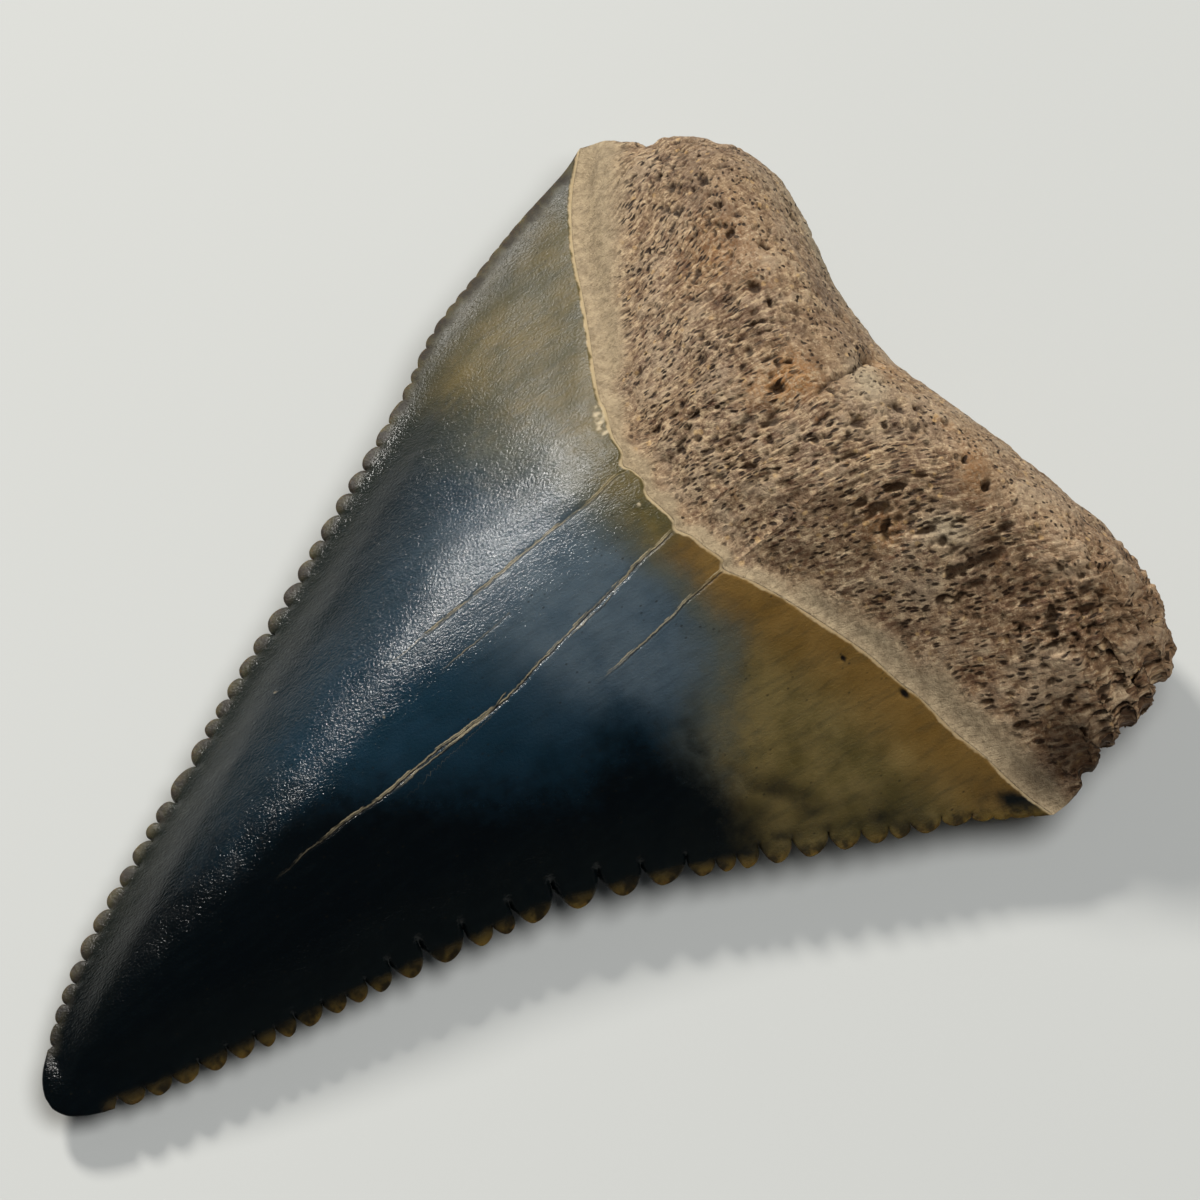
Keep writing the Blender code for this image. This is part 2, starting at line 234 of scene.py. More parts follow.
def pits(p, seed, share, small, large, soft=1.0):
    """Round hollows scattered in space, one at most in each unit cell: 0 outside them, 1 at their bottoms."""
    base = np.floor(p).astype(np.int64)
    deep = np.zeros(len(p))
    for dx in (-1, 0, 1):
        for dy in (-1, 0, 1):
            for dz in (-1, 0, 1):
                i, j, k = base[:, 0] + dx, base[:, 1] + dy, base[:, 2] + dz
                centre = np.c_[
                    i + hashed(i, j, k, seed),
                    j + hashed(i, j, k, seed + 1),
                    k + hashed(i, j, k, seed + 2),
                ]
                here = hashed(i, j, k, seed + 3)
                radius = small + (large - small) * hashed(i, j, k, seed + 4) ** 1.5
                gap = np.linalg.norm(p - centre, axis=1) / radius
                cup = np.clip(1 - gap**2, 0, 1) ** soft
                deep = np.maximum(deep, np.where(here < share, cup * (0.55 + 0.45 * hashed(i, j, k, seed + 5)), 0))
    return deep


# ---------------------------------------------------------------- the outline
def lobe_depths(line, widths, inward, depth_per_width, top, flank_tip, flank_root):
    """How deep the edge is cut at distances along it: rounded lobes with narrow notches, then fine worn ones."""
    total = lengths(line)[-1]
    starts = LOBE_START + np.concatenate([[0], np.cumsum(widths)])
    s, depth = [np.array([0.0])], [np.array([0.0])]
    x = 0.5 - 0.5 * np.cos(np.linspace(0, math.pi, 80, endpoint=False))
    for k, (a, w) in enumerate(zip(starts, widths)):
        fade = min(1.0, 0.55 + 0.15 * k) * min(1.0, 0.35 + 0.13 * (len(widths) - k))
        peak = top + 0.05 * math.sin(2.3 * k + inward)
        rise = np.where(
            x < peak,
            np.sin(0.5 * math.pi * np.clip(x / peak, 0, 1)) ** flank_tip,
            np.cos(0.5 * math.pi * np.clip((x - peak) / (1 - peak), 0, 1)) ** flank_root,
        )
        full = depth_per_width * fade * w * (1 + 0.12 * math.sin(5.1 * k + 1.7 * inward))
        s.append(a + w * x)
        depth.append(full * (1 - rise))
    left = total - starts[-1]
    # Worn small serrations, of uneven width, run out towards the shoulder.
    k, a = 0, starts[-1]
    while a < total - 0.3:
        w = min(0.62 + 0.3 * hashed(k, 3, 5, 7 if inward > 0 else 8), total - a)
        full = 0.17 * max(0.0, 1 - (a - starts[-1]) / (0.8 * left)) ** 1.2
        s.append(a + w * x)
        depth.append(full * (1 - np.sin(math.pi * x) ** 0.7))
        a += w
        k += 1
    s.append(np.array([total]))
    depth.append(np.array([0.0]))
    s, depth = np.concatenate(s), np.concatenate(depth)
    keep = s <= total
    return s[keep], depth[keep]


DISTAL_CUTS = lobe_depths(DISTAL, DISTAL_LOBES, 1, 0.6, 0.42, 0.85, 0.5)
MESIAL_CUTS = lobe_depths(MESIAL, MESIAL_LOBES, -1, 0.37, 0.44, 0.52, 0.42)


def serrated(line, cuts, inward, step):
    """The cutting edge from the tip to the shoulder."""
    point, way = at_length(line, cuts[0])
    side = np.c_[-way[:, 1], way[:, 0]] * inward
    return evenly(point + side * cuts[1][:, None], step)


def root_outline(step):
    """The root's outline with the knobs and bites of its worn basal edge."""
    line = spline(ROOT_OUTLINE)
    run = lengths(line)[-1]
    s = np.linspace(0, run, int(run / 0.02))
    point, way = at_length(line, s, 0.6)
    side = np.c_[-way[:, 1], way[:, 0]]
    p3 = np.c_[point, np.zeros(len(point))]
    bite = 0.10 * (1 + layered(p3 * 0.8, 3, 40)) * ramp(s, 0.3, 3) * ramp(run - s, 0.2, 2.5)
    # Rounded knobs stand between narrow bites on the distal lobe, fewer elsewhere.
    for place, wide, deep in (
        (1.9, 0.22, 0.24), (3.15, 0.16, 0.22), (4.3, 0.2, 0.34), (5.35, 0.12, 0.16),
        (6.5, 0.2, 0.42), (7.9, 0.25, 0.16), (9.6, 0.3, 0.2), (13.4, 0.4, 0.14),
        (18.2, 0.5, 0.12), (24.0, 0.5, 0.14), (30.5, 0.4, 0.12), (36.5, 0.35, 0.16),
        (39.6, 0.3, 0.18),
    ):
        bite = bite + deep * np.exp(-np.abs((s - place) / wide) ** 1.6)
    return evenly(point + side * bite[:, None], step)


# ---------------------------------------------------------------- heights of the faces
def edge_height(v):
    crown = EDGE_TIP_H + (EDGE_BASE_H - EDGE_TIP_H) * smooth(v / EDGE_RUN)
    return crown + (ROOT_RIM_H - EDGE_BASE_H) * smooth((v - 37.0) / 4.0)


def across(u, v):
    a = np.interp(v, MESIAL[:, 1], MESIAL[:, 0])
    b = np.interp(v, DISTAL[:, 1], DISTAL[:, 0])
    return np.clip((2 * u - a - b) / (b - a), -1, 1), 0.5 * (b - a)


def lingual_crown(u, v):
    s, half = across(u, v)
    form = 0.55 * (1 - s * s) + 0.45 * np.cos(np.pi * s / 2) ** 2
    # The margin beside the serrations is thinned to a blade.
    thin = 0.62 + 0.38 * smooth((1 - np.abs(s)) * half / 2.6)
    return edge_height(v) + LINGUAL_BULGE * (1 - np.exp(-(v + 0.2) / LINGUAL_RUN)) * form * thin


def labial_crown(u, v):
    s, half = across(u, v)
    thin = 0.7 + 0.3 * smooth((1 - np.abs(s)) * half / 2.2)
    depth = LABIAL_BULGE * (1 - np.exp(-(v + 0.2) / LABIAL_RUN)) * (1 - s * s) * thin
    return soft_floor(edge_height(v) - depth)


def line_v(line, u):
    return np.interp(u, line[:, 0], line[:, 1])


BASE_LINE = spline(ROOT_OUTLINE)
BASE_LINE = BASE_LINE[(np.abs(BASE_LINE[:, 0]) < 15.2) & (BASE_LINE[:, 1] > 40)][::-1]


def base_v(u):
    return np.interp(u, BASE_LINE[:, 0], BASE_LINE[:, 1])


def rounded(d, r):
    return np.sqrt(np.clip(1 - (1 - np.clip(d / r, 0, 1)) ** 2, 0, 1))


def lumps(u, v, h):
    total = np.zeros_like(u)
    for k, (a, b, c, p) in enumerate(
        ((1.1, 0.7, 0.5, 0.3), (-0.6, 1.3, 0.9, 1.9), (1.9, -1.2, 0.4, 4.1), (0.5, 2.3, -1.1, 2.2))
    ):
        total += np.sin(a * u + b * v + c * h + p) / (1 + 0.4 * k)
    return total / 2.6


def upper(u, v, d, is_root):
    """Height of the lingual face, where d is the distance to the outline."""
    rim = edge_height(v)
    start = line_v(LINGUAL, u)
    q = v - start
    crown = lingual_crown(u, v)
    base = lingual_crown(u, start)
    slope = base + ROOT_SLOPE * q
    along = q / np.maximum(base_v(u) - start, 4.0)
    crest = ROOT_CREST - CREST_ARCH * u * u - CREST_FALL * (along - CREST_AT) ** 2
    top = -np.log(np.exp(-1.6 * slope) + np.exp(-1.6 * crest)) / 1.6
    top = base + (top - base) * smooth(q / 1.2)
    top += LUMP * lumps(u, v, top) * smooth(q / 4)
    face = np.where(is_root, top, crown)
    r = BLADE + (ROOT_ROUND - BLADE) * smooth(q / 3.0)
    return rim + (face - rim) * rounded(d, r)


def lower(u, v, d, is_root):
    """Height of the labial face."""
    rim = edge_height(v)
    start = line_v(LABIAL, u)
    q = v - start
    crown = labial_crown(u, v)
    notch = 1.3 * np.exp(-((u + 1.5) ** 2) / 22 - ((v - 43) ** 2) / 9)
    flat = ROOT_CLEAR + notch + 0.5 * LUMP * (1 + lumps(u, v, 0 * u))
    base = labial_crown(u, start)
    low = base + (flat - base) * smooth(q / 3.5)
    face = np.where(is_root, low, crown)
    r = BLADE + (ROOT_UNDER - BLADE) * smooth(q / 3.0)
    return rim + (face - rim) * rounded(d, r)


# ---------------------------------------------------------------- triangles in the plane
def tree_of(points):
    tree = KDTree(len(points))
    for i, p in enumerate(points):
        tree.insert((p[0], p[1], 0), i)
    tree.balance()
    return tree


def distance(tree, points):
    return np.array([tree.find((p[0], p[1], 0))[2] for p in points])


def inside(loop, points):
    """Which points lie inside the closed loop, by counting crossings."""
    a, b = loop, np.roll(loop, -1, axis=0)
    rise = np.where(b[:, 1] == a[:, 1], 1e-12, b[:, 1] - a[:, 1])
    out = np.zeros(len(points), bool)
    for k in range(0, len(points), 4000):
        u, v = points[k : k + 4000, 0, None], points[k : k + 4000, 1, None]
        spans = (a[:, 1] > v) != (b[:, 1] > v)
        crossing = a[:, 0] + (v - a[:, 1]) * (b[:, 0] - a[:, 0]) / rise
        out[k : k + 4000] = (spans & (u < crossing)).sum(axis=1) % 2 == 1
    return out


LOW, HIGH, CELL = np.array([-17.2, -0.8]), np.array([17.2, 46.0]), 0.1
GRID_U, GRID_V = np.arange(LOW[0], HIGH[0], CELL), np.arange(LOW[1], HIGH[1], CELL)


def field(tree):
    """Distances to a line at the nodes of an even grid."""
    grid = np.stack(np.meshgrid(GRID_U, GRID_V), -1).reshape(-1, 2)
    return distance(tree, grid).reshape(len(GRID_V), len(GRID_U))


def read(grid, points):
    """A grid's values between its nodes."""
    x = np.clip((points[:, 0] - LOW[0]) / CELL, 0, len(GRID_U) - 1.001)
    y = np.clip((points[:, 1] - LOW[1]) / CELL, 0, len(GRID_V) - 1.001)
    i, j = x.astype(int), y.astype(int)
    x, y = x - i, y - j
    return (grid[j, i] * (1 - x) + grid[j, i + 1] * x) * (1 - y) + (
        grid[j + 1, i] * (1 - x) + grid[j + 1, i + 1] * x
    ) * y


def inside_grid(loop):
    """Which nodes of the grid lie inside the loop, row by row."""
    a, b = loop, np.roll(loop, -1, axis=0)
    out = np.zeros((len(GRID_V), len(GRID_U)), bool)
    for j, v in enumerate(GRID_V + 1e-7):
        k = np.nonzero((a[:, 1] > v) != (b[:, 1] > v))[0]
        cut = a[k, 0] + (v - a[k, 1]) * (b[k, 0] - a[k, 0]) / (b[k, 1] - a[k, 1])
        out[j] = np.searchsorted(np.sort(cut), GRID_U) % 2 == 1
    return out


def lattice(low, high, step, seed):
    """Points of an even triangular pattern, each moved a little so that no row shows."""
    v = np.arange(low[1], high[1], step * math.sqrt(3) / 2)
    u = np.arange(low[0], high[0], step)
    grid = np.stack(np.meshgrid(u, v), -1)
    grid[1::2, :, 0] += step / 2
    grid = grid.reshape(-1, 2)
    i = np.arange(len(grid))
    grid[:, 0] += 0.16 * step * (hashed(i, 1, 2, seed) - 0.5)
    grid[:, 1] += 0.16 * step * (hashed(i, 5, 3, seed) - 0.5)
    return grid


def fill(loop, inner, spacing, finest, levels, outline_n):
    """Triangles that fill the closed loop. inner are extra points to keep, and spacing(points) is the wanted gap between points. The loop's points come first, then the others."""
    low, high = loop.min(axis=0), loop.max(axis=0)
    closed = np.vstack([loop, loop[:1]])
    border = field(tree_of(evenly(closed, 0.03)))
    filled = inside_grid(loop)

    def within(points):
        i = np.clip(np.round((points[:, 0] - LOW[0]) / CELL).astype(int), 0, len(GRID_U) - 1)
        j = np.clip(np.round((points[:, 1] - LOW[1]) / CELL).astype(int), 0, len(GRID_V) - 1)
        out = filled[j, i]
        close = read(border, points) < 0.16
        out[close] = inside(loop, points[close])
        return out

    inner = inner[within(inner)]
    taken, chosen = [loop, inner], [inner]
    for k in range(levels):
        step = finest * 1.4**k
        grid = lattice(low, high, step, 11 + k)
        want = spacing(grid)
        last = k == levels - 1
        grid = grid[(want >= step * 0.999) & ((want < step * 1.4 * 0.999) | last)]
        grid = grid[within(grid)]
        if len(grid):
            near = distance(tree_of(np.vstack(taken)), grid)
            grid = grid[near > 0.66 * step]
            taken.append(grid)
            chosen.append(grid)
    every = np.vstack([loop, *chosen])
    n = len(loop)
    edges = [(i, (i + 1) % n) for i in range(n)]
    for _ in range(12):
        out = delaunay_2d_cdt([tuple(p) for p in every], edges, [], 1, 1e-6, True)
        order = np.array([origin[0] for origin in out[3]])
        faces = order[np.array([list(f) for f in out[2]])]
        # A triangle with a point inside the loop is inside it; only the others need a test.
        unsure = (faces < n).all(axis=1)
        keep = ~unsure
        keep[unsure] = inside(loop, every[faces[unsure]].mean(axis=1))
        faces = faces[keep]
        # A chord between two points of the outline would lie in both faces of the
        # tooth at once, so it gets a point of its own in the middle.
        ends = np.vstack([faces[:, [0, 1]], faces[:, [1, 2]], faces[:, [2, 0]]])
        ends = ends[(ends < outline_n).all(axis=1) & (ends[:, 0] < ends[:, 1])]
        gap = ends[:, 1] - ends[:, 0]
        ends = np.unique(ends[gap > 1], axis=0)
        if not len(ends):
            break
        every = np.vstack([every, every[ends].mean(axis=1)])
    return every, faces


# ---------------------------------------------------------------- the two closed pieces
COARSE = 1.0


def outlines():
    """The crown's outline from the mesial shoulder round the tip, and the root's from the distal one."""
    step = 0.065 * COARSE
    distal = serrated(DISTAL, DISTAL_CUTS, 1, step)
    mesial = serrated(MESIAL, MESIAL_CUTS, -1, step)[::-1]
    tip = evenly(spline(TIP), step)
    crown = np.vstack([mesial, tip[1:-1], distal])
    return crown, root_outline(0.09 * COARSE)


CROWN_EDGE, ROOT_EDGE = outlines()
CLOSED = np.vstack([CROWN_EDGE, ROOT_EDGE[1:]])
OUTLINE_TREE = tree_of(evenly(CLOSED, 0.02))
LINE_POINTS = int(36.5 / (0.06 * COARSE))
LINGUAL_POINTS = evenly(LINGUAL, 0, LINE_POINTS)
LABIAL_POINTS = evenly(LABIAL, 0, LINE_POINTS)
LINGUAL_TREE, LABIAL_TREE = tree_of(evenly(LINGUAL, 0.02)), tree_of(evenly(LABIAL, 0.02))


def crack_paths():
    """Each crack's wandering path, with its unit tangents and its place from 0 to 1."""
    out = []
    for k, (points, half, deep, step) in enumerate(CRACKS):
        line = spline(points)
        run = lengths(line)[-1]
        s = np.arange(0, run, 0.02)
        point, way = at_length(line, s, 0.1)
        p3 = np.c_[s / 0.9, np.full(len(s), 3.7 * k), np.zeros(len(s))]
        stray = 0.075 * layered(p3, 4, 60 + k, 0.6) * ramp(s, 0, 0.6)
        point = point + np.c_[-way[:, 1], way[:, 0]] * stray[:, None]
        out.append((point, way, s / run, half, deep, step))
    return out


PATHS = crack_paths()
CRACK_TREE = tree_of(np.vstack([p[0] for p in PATHS]))
OUTLINE_GRID, CRACK_GRID = field(OUTLINE_TREE), field(CRACK_TREE)
LINGUAL_GRID, LABIAL_GRID = field(LINGUAL_TREE), field(LABIAL_TREE)


def offset_rows(edge, gaps, closed_side=1):
    """Points on lines inside an outline, kept where they stay that far from all of it."""
    way = np.gradient(edge, axis=0)
    way /= np.linalg.norm(way, axis=1, keepdims=True)
    side = np.c_[-way[:, 1], way[:, 0]] * closed_side
    rows = []
    for gap in gaps:
        row = edge + side * gap
        row = row[distance(OUTLINE_TREE, row) > 0.86 * gap]
        rows.append(row)
    return np.vstack(rows)


def root_rows(edge, radius, count, last_angle):
    """Rows down the root's rounded side, close together where it is steep."""
    way = np.gradient(edge, axis=0)
    way /= np.linalg.norm(way, axis=1, keepdims=True)
    side = np.c_[-way[:, 1], way[:, 0]]
    run = lengths(edge)
    ends = np.minimum(run, run[-1] - run)
    r = BLADE + (radius - BLADE) * smooth(ends / 3.4)
    rows = []
    for k in range(1, count + 1):
        gap = r * (1 - math.cos(last_angle * k / count))
        # Where the side is low, rows would crowd, so only some of them start there.
        crowd = np.maximum(1, np.round(radius / (r + 0.3) * 0.9)).astype(int)
        use = (k % crowd) == 0
        row = (edge + side * gap[:, None])[use]
        row = row[distance(OUTLINE_TREE, row) > 0.8 * gap[use]]
        rows.append(row)
    return np.vstack(rows)


def sheet(edge, line, inner, spacing, finest, levels):
    loop = np.vstack([edge, line])
    return fill(loop, inner, spacing, finest, levels, len(edge))


def normals_of(points, faces):
    a, b, c = points[faces[:, 0]], points[faces[:, 1]], points[faces[:, 2]]
    flat = np.cross(b - a, c - a)
    out = np.zeros_like(points)
    for k in range(3):
        np.add.at(out, faces[:, k], flat)
    return out / np.maximum(np.linalg.norm(out, axis=1, keepdims=True), 1e-12)


def charts(points, d, is_root):
    """Each point's place on a flat map, for the lingual face, the labial one and the hidden one."""
    u, v, h = points.T
    if not is_root:
        # The labial face is turned round, so that the two triangles lie side by side.
        out = [np.c_[u, v], np.c_[-u - 15.3, 37.0 - v], np.c_[u, 39.0 + 0.5 * h]]
        corner, span = (-32.4, -0.6), 49.6
    else:
        # The rounded sides are laid out flat round each face.
        plan = np.c_[u, v]
        inner = plan[d > 0.3].mean(axis=0)
        way = plan - inner
        way[:, 0] *= 0.35
        way[:, 1] = np.maximum(way[:, 1], 0.5)
        way /= np.linalg.norm(way, axis=1, keepdims=True)
        out = []
        for line, radius, lift in ((LINGUAL, ROOT_ROUND, 0.0), (LABIAL, ROOT_UNDER, 11.4)):
            r = BLADE + (radius - BLADE) * smooth((v - line_v(line, u)) / 3.0)
            share = np.clip(d / r, 0, 1)
            push = 0.5 * math.pi * r - r - r * (np.arccos(1 - share) - share)
            out.append(plan + way * push[:, None] + (0, lift))
        out.append(np.c_[u, 59.6 + 0.45 * h])
        corner, span = (-18.6, 29.2), 37.2
    return [(place - corner) / span for place in out]


def assemble(edge, lingual_line, labial_line, top, low, is_root):
    """One closed piece: base positions, triangles, the face that each point is on (1 lingual, -1 labial), and each point's distance to the outline."""
    n, m = len(edge), len(lingual_line)
    (top_p, top_f), (low_p, low_f) = top, low
    t = len(top_p)
    low_f = np.where(low_f < n, low_f, low_f - n + t)[:, ::-1]
    plan = np.vstack([top_p, low_p[n:]])
    d = distance(OUTLINE_TREE, plan)
    d[:n] = 0
    side = np.ones(len(plan))
    side[t:] = -1
    h = np.where(
        side > 0,
        upper(plan[:, 0], plan[:, 1], d, is_root),
        lower(plan[:, 0], plan[:, 1], d, is_root),
    )
    h[:n] = edge_height(plan[:n, 1])
    # The hidden face between the enamel lines, in a few rows.
    rows = 5
    upper_row = np.array([n - 1, *range(n, n + m), 0])
    lower_row = np.array([n - 1, *range(t, t + m), 0])
    grid = [upper_row]
    extra = []
    points = np.c_[plan, h]
    count = len(points)
    for k in range(1, rows):
        share = k / rows
        mid = points[upper_row[1:-1]] * (1 - share) + points[lower_row[1:-1]] * share
        extra.append(mid)
        grid.append(np.array([n - 1, *range(count, count + m), 0]))
        count += m
    grid.append(lower_row)
    cap = []
    for above, below in zip(grid, grid[1:]):
        for j in range(len(above) - 1):
            a0, a1, b0, b1 = above[j], above[j + 1], below[j], below[j + 1]
            # The sheets run along this row from j to j + 1, so the hidden face runs back.
            if a0 != b0:
                cap.append((a1, a0, b0))
            if a1 != b1:
                cap.append((a1, b0, b1))
    points = np.vstack([points, *extra])
    hidden = np.zeros(len(points), bool)
    hidden[len(plan) :] = True
    side = np.concatenate([side, np.zeros(len(points) - len(plan))])
    d = np.concatenate([d, np.full(len(points) - len(plan), 9.0)])
    faces = np.vstack([top_f, low_f, np.array(cap)])
    kinds = np.repeat([0, 1, 2], [len(top_f), len(low_f), len(cap)])
    return points, faces, side, d, hidden, kinds, charts(points, d, is_root)


def crown_spacing(points):
    near = np.minimum(read(LINGUAL_GRID, points), read(CRACK_GRID, points))
    fine = 0.055 + 0.25 * np.maximum(0, near - 0.1)
    edge = 0.075 + 0.14 * np.maximum(0, read(OUTLINE_GRID, points) - 0.3)
    return COARSE * np.clip(np.minimum(fine, edge), 0.055, 0.151)


def crown_spacing_low(points):
    fine = 0.09 + 0.2 * np.maximum(0, read(LABIAL_GRID, points) - 0.1)
    edge = 0.11 + 0.15 * np.maximum(0, read(OUTLINE_GRID, points) - 0.3)
    return COARSE * np.clip(np.minimum(fine, edge), 0.08, 0.2196)


def root_spacing(points):
    return COARSE * np.clip(0.055 + 0.05 * np.maximum(0, read(LINGUAL_GRID, points) - 0.25), 0.055, 0.0771)


def root_spacing_low(points):
    return COARSE * np.clip(0.07 + 0.2 * np.maximum(0, read(LABIAL_GRID, points) - 0.1), 0.07, 0.138)


crown_rows = offset_rows(CROWN_EDGE, (0.03, 0.08, 0.16, 0.27))
crown_rows_low = offset_rows(CROWN_EDGE, (0.06, 0.2))
crown_lingual, crown_labial = LINGUAL_POINTS[1:-1][::-1], LABIAL_POINTS[1:-1][::-1]
root_lingual, root_labial = LINGUAL_POINTS[1:-1], LABIAL_POINTS[1:-1]
crown = assemble(
    CROWN_EDGE,
    crown_lingual,
    crown_labial,
    sheet(CROWN_EDGE, crown_lingual, crown_rows, crown_spacing, 0.055 * COARSE, 4),
    sheet(CROWN_EDGE, crown_labial, crown_rows_low, crown_spacing_low, 0.08 * COARSE, 4),
    False,
)
root = assemble(
    ROOT_EDGE,
    root_lingual,
    root_labial,
    sheet(ROOT_EDGE, root_lingual, root_rows(ROOT_EDGE, ROOT_ROUND, int(36 / COARSE), math.radians(66)), root_spacing, 0.055 * COARSE, 2),
    sheet(ROOT_EDGE, root_labial, root_rows(ROOT_EDGE, ROOT_UNDER, int(16 / COARSE), math.radians(70)), root_spacing_low, 0.07 * COARSE, 3),
    True,
)


# ---------------------------------------------------------------- fine relief
def spot(u, v, place, size, power=2.0):
    """1 at a place, falling off over size mm. A pair of sizes and an angle makes it oval."""
    if isinstance(size, tuple):
        long, short, turn = size
        c, s = math.cos(math.radians(turn)), math.sin(math.radians(turn))
        x = ((u - place[0]) * c + (v - place[1]) * s) / long
        y = (-(u - place[0]) * s + (v - place[1]) * c) / short
    else:
        x, y = (u - place[0]) / size, (v - place[1]) / size
    return np.exp(-((x * x + y * y) ** (power / 2)))


def cuts_beside(u, v, line, cuts, reach):
    """How deep the serrations' notches are beside a point, fading over a few mm."""
    fine = evenly(line, 0.03)
    tree = tree_of(fine)
    near = read(OUTLINE_GRID, np.c_[u, v]) < reach + 0.8
    depth, gap = np.zeros(len(u)), np.full(len(u), 9.0)
    for i in np.nonzero(near)[0]:
        _, k, g = tree.find((u[i], v[i], 0))
        depth[i], gap[i] = k * 0.03, g
    total = lengths(line)[-1]
    scale = total / max(1, (len(fine) - 1) * 0.03)
    return np.where(near, np.interp(depth * scale, cuts[0], cuts[1]), 0), gap


def enamel_relief(points, side, d, hidden):
    """How far each point of the enamel moves along its normal, and what its colours need."""
    u, v, h = points.T
    plan = np.c_[u, v]
    line = np.where(side > 0, read(LINGUAL_GRID, plan), read(LABIAL_GRID, plan))
    close = (line < 0.5) & ~hidden
    for tree, mine in ((LINGUAL_TREE, side > 0), (LABIAL_TREE, side < 0)):
        k = close & mine
        line[k] = distance(tree, plan[k])
    line[hidden] = 0
    up = side > 0
    p = np.c_[u, v, 1.5 * h]
    ragged = noise(p / 0.7, 90)
    # The enamel ends in a low rounded lip that stands a little above the root.
    lip = smooth(line / 0.12) * (1 - 0.75 * ramp(line, 0.25, 1.7)) * (0.92 + 0.14 * ragged)
    move = np.where(up, 0.085, 0.06) * lip
    # Long low folds run towards the tip, and the face is never quite even.
    folds = layered(np.c_[u / 1.3 - v / 9, v / 8, h / 6], 3, 91)
    uneven = layered(p / 3.2, 3, 92)
    small = layered(p / 0.55, 2, 93)
    inner = ramp(line, 0.05, 0.6) * ramp(d, 0.1, 1.0)
    move += inner * (0.03 * folds + 0.045 * uneven + 0.0035 * small)
    # Each notch runs on as a short groove over the face.
    fringe = np.full(len(u), 2.5)
    for edge, cuts in ((MESIAL, MESIAL_CUTS), (DISTAL, DISTAL_CUTS)):
        deep, gap = cuts_beside(u, v, edge, cuts, 1.9)
        fringe = np.minimum(fringe, gap)
        move -= 0.05 * deep * np.exp(-np.maximum(gap - 0.3, 0) / 0.3) * ramp(d, 0.02, 0.3)
    # Age cracks. Lines that lie side by side are kept in two sets, so that none is lost.
    chip = np.zeros(len(u))
    beside, shown = np.full((2, len(u)), 9.0), np.zeros((2, len(u)))
    pick = np.nonzero(up & (read(CRACK_GRID, plan) < 1.6) & ~hidden)[0]
    for number, (path, way, share, half, deep, step) in enumerate(PATHS):
        tree = tree_of(path)
        found = np.array([tree.find((u[i], v[i], 0))[1:] for i in pick])
        k, gap = found[:, 0].astype(int), found[:, 1]
        off = plan[pick] - path[k]
        x = off[:, 0] * -way[k, 1] + off[:, 1] * way[k, 0]
        run = k * 0.02
        ends = smooth(share[k] / 0.03) * smooth((1 - share[k]) / 0.3) * (gap < np.abs(x) + 0.05)
        vary = noise(np.c_[run / 0.8, 0 * run + number, 0 * run], 95)
        wide = half * (0.95 + 0.45 * vary)
        groove = np.exp(-np.abs(x / wide) ** 1.7) * ends
        move[pick] -= deep * (0.75 + 0.35 * vary) * groove
        move[pick] += 0.5 * step * np.tanh(x / 0.05) * np.exp(-np.abs(x) / 0.9) * ends
        bright = (0.8, 1.0, 0.65, 0.8, 0.8, 0.5)[number]
        kind = int(number in (2, 3, 5))
        nearer = gap < np.abs(beside[kind, pick])
        beside[kind, pick] = np.where(nearer, x, beside[kind, pick])
        close = bright * ends * np.exp(-((gap / 0.4) ** 4))
        shown[kind, pick] = np.where(nearer, close, shown[kind, pick])
    # Single marks: low pale bumps, a dark pit and a chip out of the enamel's rim.
    flakes = 0.5 + 0.5 * noise(p / 0.16, 99)
    chip = np.maximum(chip, flakes * spot(u, v, (-4.3, 30.3), (1.1, 0.3, -20), 3) * up)
    bumps = 0.6 * spot(u, v, (-2.7, 15.0), 0.12) + 0.7 * spot(u, v, (-0.3, 29.45), 0.12) + 0.6 * spot(u, v, (1.3, 17.3), 0.1)
    bumps += 0.5 * spot(u, v, (1.55, 17.0), 0.07) + 0.5 * spot(u, v, (0.9, 17.5), 0.07)
    holes = spot(u, v, (8.2, 33.0), 0.13) + 0.8 * spot(u, v, (10.3, 34.35), (0.3, 0.16, 20))
    holes += 0.5 * pits(p / 2.6, 97, 0.5, 0.02, 0.045)
    move += np.where(up, 0.045 * bumps - 0.09 * holes, -0.05 * pits(p / 3.1, 98, 0.4, 0.02, 0.06))
    move[hidden] = 0
    move *= ramp(d, 0.0, 0.06)
    return move, {
        "edge": np.minimum(d, 6.0),
        "rim": np.minimum(line, 6.0),
        "fringe": fringe,
        "crack": np.clip(beside[0], -1, 1),
        "crack_on": shown[0],
        "hair": np.clip(beside[1], -1, 1),
        "hair_on": shown[1],
        "chip": np.clip(chip + np.where(up, bumps, 0), 0, 1),
        "hole": np.where(up, np.clip(holes, 0, 1), 0),
    }


